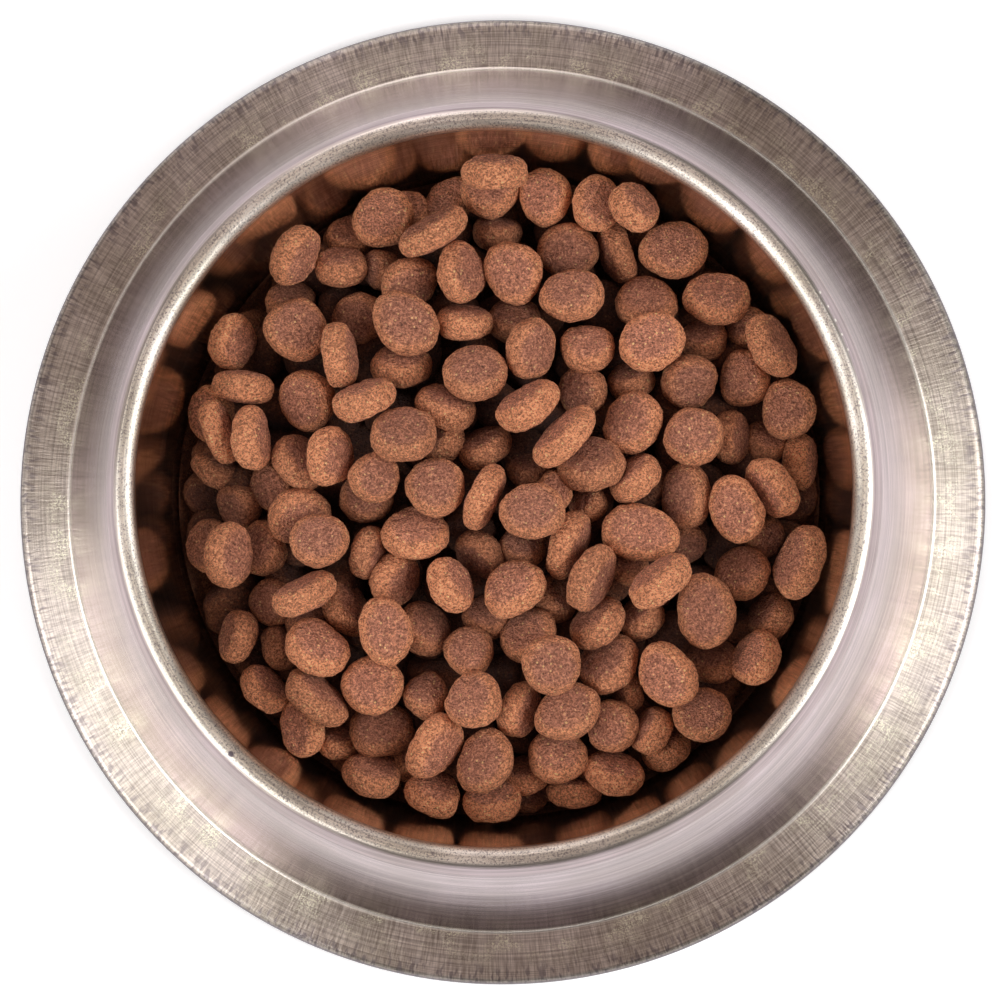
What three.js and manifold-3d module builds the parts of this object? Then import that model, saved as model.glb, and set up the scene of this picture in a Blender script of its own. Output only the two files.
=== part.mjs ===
// A non-tip steel pet bowl heaped with dry food, standing on its rubber base ring.
// Millimetres and degrees, +Z up, origin at the centre of the base on the floor, seen from above
// with +X to the right and +Y away.
import * as THREE from 'three';
import { mergeVertices } from 'three/addons/utils/BufferGeometryUtils.js';
import Module from 'manifold-3d';

const wasm = await Module();
wasm.setup();

// The steel bowl: one sheet, spun into a bowl, a rolled lip, a sloping skirt and a base flange
const SHEET = 0.8;
const RIM_RADIUS = 80.3;
const RIM_HEIGHT = 56;
const WALL_TAPER = 8;
const LIP_RADIUS = 2.6;
const FLOOR_HEIGHT = 5;
const FLOOR_CORNER_RADIUS = 16;
const SKIRT_SLOPE = 19.5;
const CREASE_RADIUS = 1.2;
const BASE_RADIUS = 114.5;
const FLANGE_FALL = 12;
const EDGE_RADIUS = 2.4;
const EDGE_HEIGHT = 5.2;
const EDGE_END_HEIGHT = 1.2;
const BOWL_SIDES = 48;
const BEND_STEPS = { corner: 3, lip: 6, crease: 2, edge: 3 };

// The rubber ring pressed in behind the turned-down edge
const RING_WIDTH = 8;
const RING_CHAMFER = 1.6;
const RING_CLEARANCE = 0.3;

// The food: a packed core, kibbles that are part sunk in it, and loose kibbles lying on those
const FOOD_CLEARANCE = 0.4;
const CORE_TOP_HEIGHT = 33;
const CORE_RIM_DROP = 12;
const CORE_RINGS = 5;
const CORE_SIDES = 24;
const ROUNDNESS = 3.2;
const FACET_SWELL = 1.04;

// The layers of kibbles. How far a kibble's middle lies above the core, as a share of its own height:
// where it starts, the level that it is drawn to, and the lowest and highest that it may come to lie,
// where a loose one only has to clear the core. Then the sides of its outline, an even number so
// that a kibble reaches as far one way as the other, and the rings of points from face to face.
const SUNK = { start: -0.1, level: -0.1, lowest: -0.3, highest: 0.2, sides: 6, rings: 2 };
const MIDDLE = { start: 0.3, level: 0.3, lowest: 0, highest: 0.38, sides: 8, rings: 3 };
const LOOSE = { start: 1.2, level: 0.65, highest: 5, sides: 8, rings: 4 };

// The gap from a loose kibble to the others, from any kibble to the wall, and, as they may overlap,
// between two kibbles that are fused to the core
const LOOSE_GAP = 0.35;
const WALL_GAP = 0.5;
const FUSED_GAP = -0.6;

// The heap settles in small steps, drawn to its places less and less and then not at all. A kibble
// gives way up or down this much more readily than aside.
const DRAWN_STEPS = 120;
const FREE_STEPS = 60;
const FIRST_PULL = 0.25;
const PUSH_SHARE = 0.3;
const UPRIGHT_EASE = 2.5;
const LET_DOWN_STEP = 0.05;
const CONTACT_SLACK = 0.03;
const PROBE_COUNT = 1200;
const NEIGHBOURHOOD = 22;

// Colour, roughness and metalness
const STEEL = { color: 0xb9b2ae, roughness: 0.3, metalness: 1 };
const RUBBER = { color: 0x1c1c1d, roughness: 0.85, metalness: 0 };
const FOOD = { color: 0x8a5a42, roughness: 0.9, metalness: 0 };
const PACKED_FOOD = { color: 0x5e3b2b, roughness: 0.95, metalness: 0 };

// The kibbles' places are as seen from EYE on the level LIST_LEVEL, because the heap is drawn from
// one high viewpoint. A kibble that lies lower is further out on the same line of sight.
const EYE = { x: 30.6, y: -46, z: 848 };
const LIST_LEVEL = 45;

// Each kibble is an oval disc: place x and y, width, depth and thickness, the direction that its
// face looks in, and how far the face leans that way from lying flat. The width is the level
// diameter, across that direction.
const SUNK_KIBBLES = [
  [-34, 60.5, 11.8, 11.5, 7.4, 90, 40],
  [-46, 42, 11.8, 11.5, 7.4, 90, 45],
  [-30.5, 38.5, 12.3, 12.8, 7.7, 200, 20],
  [-65.5, 17, 14.8, 12, 7.4, 190, 35],
  [-62, 4, 13.8, 11.5, 6.9, 60, 70],
  [-49.5, 0.5, 12.8, 12, 7.4, 200, 30],
  [-57.3, -3.3, 11.3, 10.5, 7.4, 210, 40],
  [-64, -12.8, 13, 11.5, 7.4, 170, 35],
  [-49.5, -25.6, 11.3, 10.8, 7.7, 180, 20],
  [-41.5, -30, 11.8, 11.5, 7.4, 90, 50],
  [-48.2, -35.7, 11, 10, 6.6, 20, 68],
  [-15.5, -31.5, 13.3, 12.5, 7.4, 40, 40],
  [-2.9, -14.8, 12.8, 11.5, 7.4, 230, 60],
  [-2, 9.3, 12.8, 11.5, 7.4, 115, 60],
  [-11.3, 10.5, 10.8, 10.5, 7.4, 150, 55],
  [4.5, 38, 12.8, 11.5, 7.4, 90, 40],
  [31, 24, 10.8, 10.5, 7.4, 110, 55],
  [9, 3.5, 11.8, 10.5, 6.4, 90, 50],
  [21.3, -3.3, 9.3, 9.5, 6.4, 140, 50],
  [30, -17.5, 9.8, 9.5, 7.4, 90, 30],
  [6.5, -13.5, 10.8, 10, 7.4, 90, 30],
  [13.5, -25.3, 11.3, 10.5, 7.4, 30, 45],
  [33.2, -29.3, 11.3, 10.5, 7.4, 125, 55],
  [62, -28.8, 11.8, 10.5, 7.4, 140, 50],
  [49, -39, 12.8, 11.5, 7.4, 90, 45],
  [-1.8, -29.5, 11.8, 10.5, 7.4, 90, 30],
  [-34.5, -57, 10.8, 10.5, 6.9, 90, 60],
  [7, -64.5, 10.8, 10, 6.9, 100, 50],
  [29.5, -45.8, 9.8, 9.5, 6.4, 200, 60],
  [38.5, -58.7, 11.8, 10.5, 6.9, 115, 60],
  [18, -68, 13.1, 10.5, 6.4, 90, 75],
  [47.2, 33.6, 11.3, 10, 7.4, 100, 35],
  [57.2, 36, 10.3, 10, 7.4, 140, 45],
  [53.8, 11.6, 12.6, 10.5, 7.4, 0, 60],
  [60.3, 10.3, 10.3, 9.5, 7.4, 60, 40],
  [68.8, 6, 13.3, 11, 6.9, 0, 72],
  [60.5, -10.7, 10.3, 9.5, 7.4, -30, 40],
  [43, -12, 9.8, 9.5, 7.4, -60, 30],
  [0.8, 57.8, 11.3, 10.5, 6.9, 90, 65],
  [-10.8, 65.8, 13.8, 10.5, 7.4, 135, 30],
  [-19.5, 64.5, 10.8, 10.8, 7.7, 90, 20],
  [-25.8, 49.5, 9.8, 9.5, 7.4, 180, 50],
  [-20.3, -61.5, 9.8, 9.5, 6.9, 20, 50],
];

const MIDDLE_KIBBLES = [
  [-35.2, 50.3, 12.3, 11.5, 7.4, 90, 55],
  [-42.2, 20, 14.3, 13.3, 8, 200, 20],
  [-60, 34, 13.3, 12, 7.7, -20, 55],
  [-45, 6, 14.3, 12.5, 7.6, 45, 50],
  [-44.5, -6.5, 14.8, 13, 7.7, -65, 40],
  [-51.8, -13, 12.8, 11.8, 7.9, 170, 25],
  [-57.8, -33.4, 12.6, 10.8, 7.4, 165, 60],
  [-33.8, -27.2, 14.3, 12.5, 7.4, 35, 60],
  [-28.6, -14.3, 12.3, 11, 6.9, -20, 75],
  [-28.5, -1.8, 12.3, 11.8, 7.7, 90, 15],
  [-17.7, -10.2, 15.6, 13.8, 7.9, 90, 40],
  [-22.8, -20.5, 13.3, 12, 7.6, -25, 50],
  [-11.2, 18.4, 14.3, 12.5, 7.4, 65, 55],
  [-20.8, 28.2, 14.3, 12.5, 7.4, 90, 50],
  [-6.8, 37.3, 13.4, 12.5, 7.4, 90, 68],
  [21, 30.5, 12.5, 11.5, 7.4, 90, 30],
  [31, 14.8, 14.8, 13.3, 8, 150, 20],
  [22.4, 5.6, 15.3, 13.8, 7.7, 100, 40],
  [31.7, 1.5, 13.3, 12, 7.4, 130, 60],
  [43.3, -1.8, 15.6, 11.5, 7.7, 180, 35],
  [12.5, 0, 9.8, 8.8, 7.2, 0, 10],
  [16.7, -12.7, 16.1, 12.5, 7.2, -20, 72],
  [23.2, -30.3, 14.3, 12.5, 7.4, 130, 58],
  [55.6, -19.2, 12.8, 12.3, 7.9, 120, 25],
  [60, -39, 13, 11.5, 7.4, 150, 45],
  [26.3, -39.3, 14.8, 13.5, 7.7, 140, 35],
  [8.8, -33, 13.8, 12.5, 7.4, 130, 30],
  [-4.9, -36.7, 11.3, 11.8, 7.7, 90, 15],
  [-51.7, -45, 13, 10.5, 7, 45, 60],
  [-25.2, -54, 14.8, 13.3, 8, 90, 20],
  [-15.8, -46.3, 10.3, 12, 7.4, 90, 35],
  [-27.5, -65.5, 13.8, 12, 7.4, 75, 50],
  [-14, -70, 13.3, 12, 7.4, 65, 50],
  [-0.3, -71.3, 13.8, 11.5, 7.4, 95, 55],
  [14.4, -60, 13.4, 12.6, 7.9, 90, 20],
  [5.5, -50, 13.1, 11.5, 7.4, -20, 60],
  [26.8, -53.3, 12.3, 11.8, 7.9, 180, 20],
  [35.5, -54.3, 11.3, 10.5, 6.9, 150, 60],
  [27, -64, 14.1, 12, 7.4, 75, 55],
  [34.7, 42.2, 14.5, 12.8, 7.9, 90, 25],
  [56.7, 24.8, 13.2, 11.5, 7.9, 180, 20],
  [44.3, 24.2, 13.6, 12.8, 7.9, -60, 25],
  [28, 54.3, 14.6, 12, 6.7, 200, 75],
  [16.9, 54.2, 14.2, 13, 8, -90, 10],
  [-23.9, 60.4, 14.8, 13.4, 8, 135, 10],
  [-19.2, 47, 13.8, 12, 7.4, -60, 30],
  [20.4, 23, 11.6, 11, 7.7, 180, 25],
  [-43, -53.7, 13.8, 10.5, 7.4, 190, 35],
];

const LOOSE_KIBBLES = [
  [31.5, 65.3, 12.3, 10.5, 7.4, 40, 45],
  [23, 66.2, 13.2, 12, 8, 0, 20],
  [0, 75, 15.4, 12.5, 7.4, 90, 70],
  [0.4, 67, 13.2, 12.6, 8, 90, 15],
  [12.7, 67, 13.8, 12.2, 8, 180, 15],
  [-45.4, 53.9, 14.8, 12, 7.6, -30, 62],
  [-13.6, 57.6, 17.3, 13, 7.2, 120, 72],
  [-7.4, 49.4, 14.4, 11.9, 7.5, 5, 50],
  [4.5, 49.2, 15, 13, 8, 210, 12],
  [40.5, 54.3, 16, 13.2, 8.2, 95, 10],
  [17.6, 43.6, 15, 12.7, 7.9, 98, 25],
  [50.3, 42.9, 15.7, 13, 7.7, 85, 30],
  [-44, 36, 14.6, 14.2, 8.2, 45, 15],
  [-19.8, 37.3, 16.8, 13.6, 8.2, 45, 8],
  [35.7, 33.4, 15.6, 13.4, 8, 115, 12],
  [63.4, 32, 15.8, 12, 7.4, 28, 55],
  [-35.2, 30, 14.8, 11.5, 7.4, 7, 78],
  [8.5, 31.5, 14.4, 11.5, 7.6, -15, 35],
  [-57, 23.2, 14.2, 11.5, 6.9, 82, 80],
  [-4.3, 26.2, 15.1, 13.7, 7.9, 90, 30],
  [67.2, 18.6, 13.7, 12.6, 8, 180, 12],
  [-29.3, 20.2, 15, 12.5, 7.4, 110, 70],
  [7.7, 19, 15.8, 12.5, 7.6, 125, 65],
  [-62, 13, 15.4, 11, 6.9, 20, 80],
  [-54.2, 11.6, 14.9, 11.6, 7.4, 5, 72],
  [-20.8, 12.3, 15.2, 13.5, 7.8, 90, 35],
  [16.1, 11.7, 18.2, 12.5, 6.8, 135, 66],
  [44.9, 11.6, 14.4, 13.2, 8, 110, 12],
  [-37, 7.4, 13.7, 12.2, 7.4, -10, 50],
  [-26.8, 3, 12, 11.6, 7.9, 0, 20],
  [-13.3, 0.2, 13.8, 13.6, 8.1, 90, 15],
  [62.4, -0.2, 15, 12, 7.4, 215, 60],
  [-2.3, -1.8, 16, 11.5, 6.6, -25, 84],
  [8.8, -5, 15.2, 12.6, 8, 95, 10],
  [54.7, -4.5, 15.6, 12, 8, 200, 15],
  [33.4, -9.8, 17.8, 13.3, 8.2, 80, 10],
  [-39, -12.2, 14, 12.4, 8, 90, 12],
  [-59.8, -15, 15.2, 13, 7.7, 0, 55],
  [68.9, -16.7, 17.6, 13, 7.6, 160, 55],
  [37.1, -20.3, 15.8, 12.5, 7.6, 130, 68],
  [22, -20.1, 16.2, 12.5, 7.6, -28, 68],
  [-9.6, -21.5, 13.6, 11.5, 7.4, 28, 62],
  [4.3, -22.2, 14.8, 12.8, 7.9, 120, 28],
  [-42.3, -23.3, 15.4, 12, 7.2, 115, 72],
  [48, -27.5, 17.2, 13.2, 8.2, 187, 10],
  [-24.2, -31.8, 16, 12.2, 8.1, 8, 10],
  [-39.7, -35.6, 15.4, 13.1, 7.6, 60, 38],
  [12.6, -39.4, 13.6, 13.4, 8.1, 0, 8],
  [38.5, -42, 15.8, 12.6, 8, 215, 20],
  [-27.8, -45, 14.1, 13.9, 8.1, 90, 6],
  [-38.8, -46.7, 16.8, 12.3, 7.2, 48, 66],
  [-4.6, -46.9, 13.2, 12.8, 8, 150, 25],
  [16.6, -50.3, 15.8, 12.8, 8, 120, 20],
  [46.8, -51.3, 13.6, 12.7, 8, 90, 20],
  [-13.3, -58.1, 16, 12.5, 7.6, -35, 55],
  [-1.8, -61, 15.3, 12.8, 7.9, 150, 25],
];

const UP = new THREE.Vector3(0, 0, 1);

const rad = THREE.MathUtils.degToRad;

const unit = (degrees) => new THREE.Vector2(Math.cos(rad(degrees)), Math.sin(rad(degrees)));

// Outline of the sheet. Every bend is an arc whose centre both faces of the sheet share.
const wallNormal = unit(180 - WALL_TAPER);
const skirtNormal = unit(SKIRT_SLOPE);
const flangeNormal = unit(90 - FLANGE_FALL);
const lipCentre = new THREE.Vector2(
  RIM_RADIUS - LIP_RADIUS * wallNormal.x,
  RIM_HEIGHT - LIP_RADIUS,
);
const edgeCentre = new THREE.Vector2(BASE_RADIUS - EDGE_RADIUS, EDGE_HEIGHT - EDGE_RADIUS);
const wallTop = wallNormal.clone().multiplyScalar(LIP_RADIUS).add(lipCentre);
const floorCornerCentre = centreBetween(
  [wallNormal, wallTop],
  [new THREE.Vector2(0, 1), new THREE.Vector2(0, FLOOR_HEIGHT)],
  FLOOR_CORNER_RADIUS,
);
const creaseCentre = centreBetween(
  [skirtNormal, skirtNormal.clone().multiplyScalar(LIP_RADIUS).add(lipCentre)],
  [flangeNormal, flangeNormal.clone().multiplyScalar(EDGE_RADIUS).add(edgeCentre)],
  CREASE_RADIUS,
);

// The point that lies the given distance in front of two lines, each a normal and a point on it
function centreBetween([normalA, pointA], [normalB, pointB], distance) {
  const a = normalA.dot(pointA) + distance;
  const b = normalB.dot(pointB) + distance;
  const cross = normalA.cross(normalB);
  return new THREE.Vector2(
    (a * normalB.y - b * normalA.y) / cross,
    (b * normalA.x - a * normalB.x) / cross,
  );
}

function arc(centre, radius, from, to, steps) {
  return Array.from({ length: steps + 1 }, (_, i) =>
    unit(from + ((to - from) * i) / steps)
      .multiplyScalar(radius)
      .add(centre),
  );
}

// One face of the sheet, from the axis out to its turned-down edge, at a depth below the show face.
// Both faces turn in the same steps, so that the facets of a bend stay a sheet apart.
function sheetFace(depth) {
  const { corner, lip, crease, edge } = BEND_STEPS;
  return [
    new THREE.Vector2(0, FLOOR_HEIGHT - depth),
    ...arc(floorCornerCentre, FLOOR_CORNER_RADIUS + depth, -90, -WALL_TAPER, corner),
    ...arc(lipCentre, LIP_RADIUS - depth, 180 - WALL_TAPER, SKIRT_SLOPE, lip),
    ...arc(creaseCentre, CREASE_RADIUS + depth, 180 + SKIRT_SLOPE, 270 - FLANGE_FALL, crease),
    ...arc(edgeCentre, EDGE_RADIUS - depth, 90 - FLANGE_FALL, 0, edge),
    new THREE.Vector2(BASE_RADIUS - depth, EDGE_END_HEIGHT),
  ];
}

function steelBowl() {
  return lathe([...sheetFace(SHEET), ...sheetFace(0).reverse()], BOWL_SIDES);
}

function lathe(points, sides) {
  return new THREE.LatheGeometry(points, sides).rotateX(Math.PI / 2);
}

// Height of the underside of the flange at a radius
function flangeUnderside(radius) {
  const onLine = flangeNormal.clone().multiplyScalar(EDGE_RADIUS - SHEET).add(edgeCentre);
  return onLine.y - (radius - onLine.x) * Math.tan(rad(FLANGE_FALL));
}

function baseRing() {
  const outer = BASE_RADIUS - SHEET - RING_CLEARANCE;
  const inner = outer - RING_WIDTH;
  const shoulder = outer - RING_CHAMFER;
  const top = (radius) => flangeUnderside(radius) - RING_CLEARANCE;
  const section = [
    [inner, 0],
    [outer, 0],
    [outer, top(shoulder) - RING_CHAMFER],
    [shoulder, top(shoulder)],
    [inner, top(inner)],
    [inner, 0],
  ];
  return lathe(
    section.map(([radius, height]) => new THREE.Vector2(radius, height)),
    BOWL_SIDES,
  );
}

// Inside radius of the bowl's flat-sided wall at a height
function wallRadius(height) {
  const round = RIM_RADIUS - (wallTop.y - height) * Math.tan(rad(WALL_TAPER));
  return round * Math.cos(Math.PI / BOWL_SIDES);
}

function coreHeight(radius) {
  return CORE_TOP_HEIGHT - CORE_RIM_DROP * (radius / RIM_RADIUS) ** 2;
}

// The packed food under the kibbles: the bowl's own inside, closed by a low dome
function foodCore() {
  const wallFoot = floorCornerCentre.y - FLOOR_CORNER_RADIUS * Math.sin(rad(WALL_TAPER));
  let edge = wallRadius(wallFoot) - FOOD_CLEARANCE;
  for (let pass = 0; pass < 4; pass += 1) {
    edge = wallRadius(coreHeight(edge)) - FOOD_CLEARANCE;
  }
  const corner = arc(
    floorCornerCentre,
    FLOOR_CORNER_RADIUS - FOOD_CLEARANCE - RIM_RADIUS * (1 - Math.cos(Math.PI / BOWL_SIDES)),
    -90,
    -WALL_TAPER,
    3,
  );
  const dome = Array.from({ length: CORE_RINGS + 1 }, (_, i) => {
    const radius = edge * (1 - i / CORE_RINGS);
    return new THREE.Vector2(radius, coreHeight(radius));
  });
  return lathe([new THREE.Vector2(0, corner[0].y), ...corner, ...dome], CORE_SIDES);
}

// A kibble's share of radius and of half thickness, ring by ring, on a rounded square section
function ringShares(rings) {
  return Array.from({ length: rings }, (_, i) => {
    const angle = Math.PI * ((i + 1) / (rings + 1) - 0.5);
    const power = 2 / ROUNDNESS;
    return [Math.cos(angle) ** power, Math.sign(angle) * Math.abs(Math.sin(angle)) ** power];
  });
}

// A closed oval disc with its face towards +Z and its width along X. Its flat facets cut inside
// the round form as much as their corners stand out of it.
function kibbleShape(width, depth, thickness, { sides, rings }) {
  const radii = new THREE.Vector3(width, depth, thickness).multiplyScalar(FACET_SWELL / 2);
  const positions = [0, 0, -radii.z];
  for (const [out, up] of ringShares(rings)) {
    for (let side = 0; side < sides; side += 1) {
      const turn = unit((360 * side) / sides);
      positions.push(radii.x * out * turn.x, radii.y * out * turn.y, radii.z * up);
    }
  }
  positions.push(0, 0, radii.z);
  const top = 1 + sides * rings;
  const index = [];
  for (let side = 0; side < sides; side += 1) {
    const next = (side + 1) % sides;
    index.push(0, 1 + next, 1 + side);
    for (let ring = 0; ring < rings - 1; ring += 1) {
      const low = 1 + ring * sides;
      const high = low + sides;
      index.push(low + side, low + next, high + next);
      index.push(low + side, high + next, high + side);
    }
    const last = 1 + (rings - 1) * sides;
    index.push(last + side, last + next, top);
  }
  const geometry = new THREE.BufferGeometry();
  geometry.setAttribute('position', new THREE.Float32BufferAttribute(positions, 3));
  geometry.setIndex(index);
  return geometry;
}

function points(geometry) {
  const position = geometry.getAttribute('position');
  return Array.from({ length: position.count }, (_, i) =>
    new THREE.Vector3().fromBufferAttribute(position, i),
  );
}

// Directions spread evenly over a sphere. The shift is the easiest move that goes one millimetre
// that way, when a move up or down counts for less, and the ease says how much easier it is.
const probes = Array.from({ length: PROBE_COUNT }, (_, i) => {
  const up = 1 - (2 * i + 1) / PROBE_COUNT;
  const out = Math.sqrt(1 - up * up);
  const turn = i * Math.PI * (3 - Math.sqrt(5));
  const direction = new THREE.Vector3(out * Math.cos(turn), out * Math.sin(turn), up);
  const easeSquared = out * out + (up * UPRIGHT_EASE) ** 2;
  const shift = new THREE.Vector3(direction.x, direction.y, up * UPRIGHT_EASE ** 2);
  return { direction, shift: shift.divideScalar(easeSquared), ease: Math.sqrt(easeSquared) };
});

// How far a kibble reaches from its middle along a direction
function reach({ corners }, direction) {
  return Math.max(...corners.map((corner) => corner.dot(direction)));
}

// A kibble of the list, with what it needs to find its place
function kibbleFrom([x, y, width, depth, thickness, faces, lean], layer) {
  const rotation = new THREE.Euler(rad(lean), 0, rad(faces + 90), 'ZYX');
  const shape = kibbleShape(width, depth, thickness, layer);
  const kibble = {
    seenAt: { x, y },
    layer,
    shape,
    rotation,
    corners: points(shape).map((corner) => corner.applyEuler(rotation)),
    at: alongSight({ x, y }, coreHeight(Math.hypot(x, y))),
  };
  kibble.reaches = probes.map(({ direction }) => reach(kibble, direction));
  kibble.height = 2 * reach(kibble, UP);
  kibble.at.z = heightOnCore(kibble, layer.start);
  return kibble;
}

// The point at a height on the line of sight through a place of the list
function alongSight({ x, y }, height) {
  const share = (height - LIST_LEVEL) / (EYE.z - LIST_LEVEL);
  return new THREE.Vector3(x + (EYE.x - x) * share, y + (EYE.y - y) * share, height);
}

// The height of a kibble's middle when this share of its own height lies above the core
function heightOnCore({ at, height }, share) {
  return coreHeight(Math.hypot(at.x, at.y)) + share * height;
}

// How far two kibbles are nearer than they should be, in the direction that is easiest to mend
function nearness(a, b) {
  const apart = b.at.clone().sub(a.at);
  const gap = a.layer === LOOSE || b.layer === LOOSE ? LOOSE_GAP : FUSED_GAP;
  const nearest = { overlap: -Infinity, effort: Infinity };
  for (let i = 0; i < PROBE_COUNT; i += 1) {
    const overlap = a.reaches[i] + b.reaches[i] + gap - apart.dot(probes[i].direction);
    const effort = overlap / probes[i].ease;
    if (effort < nearest.effort) {
      nearest.overlap = overlap;
      nearest.effort = effort;
      nearest.shift = probes[i].shift;
    }
  }
  return nearest;
}

function pushApart(a, b) {
  const { overlap, shift } = nearness(a, b);
  if (overlap > 0) {
    a.push.addScaledVector(shift, -PUSH_SHARE * overlap);
    b.push.addScaledVector(shift, PUSH_SHARE * overlap);
  }
}

// Lets a kibble down until it lies on something
function letDown(kibble, others) {
  const beside = others.filter((other) => other.at.distanceTo(kibble.at) < NEIGHBOURHOOD);
  const lies = () =>
    kibble.at.z <= lowestHeight(kibble) ||
    beside.some((other) => nearness(kibble, other).overlap > CONTACT_SLACK);
  while (!lies()) {
    kibble.at.z -= LET_DOWN_STEP;
  }
}

// The lowest that a kibble may lie: a loose one clear of the core, another one part sunk in it
function lowestHeight(kibble) {
  const { at, layer, corners } = kibble;
  if (layer !== LOOSE) {
    return heightOnCore(kibble, layer.lowest);
  }
  const rests = corners.map(({ x, y, z }) => coreHeight(Math.hypot(at.x + x, at.y + y)) - z);
  return LOOSE_GAP + Math.max(...rests);
}

// Keeps a kibble off the bowl's wall, and within its layer's heights above the core
function holdIn(kibble) {
  const { at, layer } = kibble;
  const radius = Math.hypot(at.x, at.y);
  const out = new THREE.Vector3(at.x / radius, at.y / radius, 0);
  const intoWall = out.clone().setZ(-Math.tan(rad(WALL_TAPER)));
  const over = radius + reach(kibble, intoWall) + WALL_GAP - wallRadius(at.z);
  at.addScaledVector(out, -Math.max(0, over));
  at.z = Math.min(at.z, heightOnCore(kibble, layer.highest));
  at.z = Math.max(at.z, lowestHeight(kibble));
}

// Settles the heap: every kibble is drawn towards its place in the list and pushed off the others
function settle(kibbles) {
  const pairs = kibbles.flatMap((a, i) =>
    kibbles
      .slice(i + 1)
      .filter((b) => a.at.distanceTo(b.at) < NEIGHBOURHOOD)
      .map((b) => [a, b]),
  );
  for (let step = 0; step < DRAWN_STEPS + FREE_STEPS; step += 1) {
    const pull = FIRST_PULL * Math.max(0, 1 - step / DRAWN_STEPS);
    for (const kibble of kibbles) {
      const target = alongSight(kibble.seenAt, kibble.at.z);
      target.z = heightOnCore(kibble, kibble.layer.level);
      kibble.push = target.sub(kibble.at).multiplyScalar(pull);
    }
    pairs.forEach(([a, b]) => pushApart(a, b));
    for (const kibble of kibbles) {
      kibble.at.add(kibble.push);
      holdIn(kibble);
    }
  }
  const upwards = [...kibbles].sort((a, b) => a.at.z - b.at.z);
  for (const kibble of upwards.filter(({ layer }) => layer === LOOSE)) {
    letDown(
      kibble,
      kibbles.filter((other) => other !== kibble),
    );
  }
}

function toSolid(geometry) {
  const bare = geometry.clone();
  bare.deleteAttribute('normal');
  bare.deleteAttribute('uv');
  const merged = mergeVertices(bare, 1e-4);
  return new wasm.Manifold(
    new wasm.Mesh({
      numProp: 3,
      vertProperties: new Float32Array(merged.getAttribute('position').array),
      triVerts: new Uint32Array(merged.getIndex().array),
    }),
  );
}

function fromSolid(solid) {
  const mesh = solid.getMesh();
  const geometry = new THREE.BufferGeometry();
  geometry.setAttribute('position', new THREE.BufferAttribute(mesh.vertProperties, 3));
  geometry.setIndex(new THREE.BufferAttribute(mesh.triVerts, 1));
  return geometry;
}

// The packed core with the lower kibbles fused to it
function foodHeap() {
  const fused = [...sunk, ...middle].map(({ shape, rotation, at }) => {
    const turn = new THREE.Quaternion().setFromEuler(rotation);
    const place = new THREE.Matrix4().compose(at, turn, new THREE.Vector3(1, 1, 1));
    return toSolid(shape.clone().applyMatrix4(place));
  });
  return fromSolid(fused.reduce((heap, kibble) => heap.add(kibble), toSolid(foodCore())));
}

function named(name, geometry, finish) {
  const shaded = geometry.index ? geometry.toNonIndexed() : geometry;
  shaded.computeVertexNormals();
  const mesh = new THREE.Mesh(shaded, new THREE.MeshStandardMaterial(finish));
  mesh.name = name;
  return mesh;
}

function looseKibble(kibble, i) {
  const name = `kibble_${String(i + 1).padStart(2, '0')}`;
  const mesh = named(name, kibble.shape, FOOD);
  mesh.position.copy(kibble.at);
  mesh.rotation.copy(kibble.rotation);
  return mesh;
}

const sunk = SUNK_KIBBLES.map((row) => kibbleFrom(row, SUNK));
const middle = MIDDLE_KIBBLES.map((row) => kibbleFrom(row, MIDDLE));
const loose = LOOSE_KIBBLES.map((row) => kibbleFrom(row, LOOSE));
settle([...sunk, ...middle, ...loose]);

const petBowl = new THREE.Group();
petBowl.add(named('steel_bowl', steelBowl(), STEEL));
petBowl.add(named('base_ring', baseRing(), RUBBER));
petBowl.add(named('food_heap', foodHeap(), PACKED_FOOD));

const topLayer = new THREE.Group();
loose.forEach((kibble, i) => topLayer.add(looseKibble(kibble, i)));
petBowl.add(topLayer);

export default petBowl;
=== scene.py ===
"""A steel non-tip pet bowl, heaped with baked dry food, on a pale floor under soft lights.

The scene is in metres, +Z up, with the origin at the centre of the base on the floor, seen from
above with +X to the right and +Y away. Sizes of the bowl and its food are given in millimetres.
"""

import logging
import math
from collections.abc import Callable, Iterable, Sequence
from dataclasses import dataclass, field
from enum import Enum
from typing import NamedTuple

import bpy
import numpy as np
from mathutils import Matrix, Vector


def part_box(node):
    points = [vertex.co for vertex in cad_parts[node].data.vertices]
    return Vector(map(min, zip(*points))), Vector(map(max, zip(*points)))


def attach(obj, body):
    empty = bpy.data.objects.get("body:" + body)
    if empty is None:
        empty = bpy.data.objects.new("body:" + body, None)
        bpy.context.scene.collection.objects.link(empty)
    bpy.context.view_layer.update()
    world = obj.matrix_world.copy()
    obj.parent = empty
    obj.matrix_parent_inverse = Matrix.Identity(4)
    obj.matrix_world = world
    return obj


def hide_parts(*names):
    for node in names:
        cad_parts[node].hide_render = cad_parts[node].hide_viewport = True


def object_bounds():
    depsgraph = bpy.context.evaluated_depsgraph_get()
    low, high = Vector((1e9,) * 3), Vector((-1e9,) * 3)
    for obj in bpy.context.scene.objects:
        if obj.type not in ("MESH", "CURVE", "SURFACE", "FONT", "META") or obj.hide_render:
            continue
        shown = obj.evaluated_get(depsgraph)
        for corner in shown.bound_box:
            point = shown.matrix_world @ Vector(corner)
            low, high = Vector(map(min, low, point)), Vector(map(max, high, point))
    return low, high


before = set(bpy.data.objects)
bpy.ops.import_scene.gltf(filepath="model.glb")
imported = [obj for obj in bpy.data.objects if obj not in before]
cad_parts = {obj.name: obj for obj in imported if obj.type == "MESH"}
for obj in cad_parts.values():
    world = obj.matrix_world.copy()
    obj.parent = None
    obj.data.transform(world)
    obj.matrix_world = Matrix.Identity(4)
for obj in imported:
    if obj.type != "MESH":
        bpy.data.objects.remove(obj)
packed_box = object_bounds()

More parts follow.
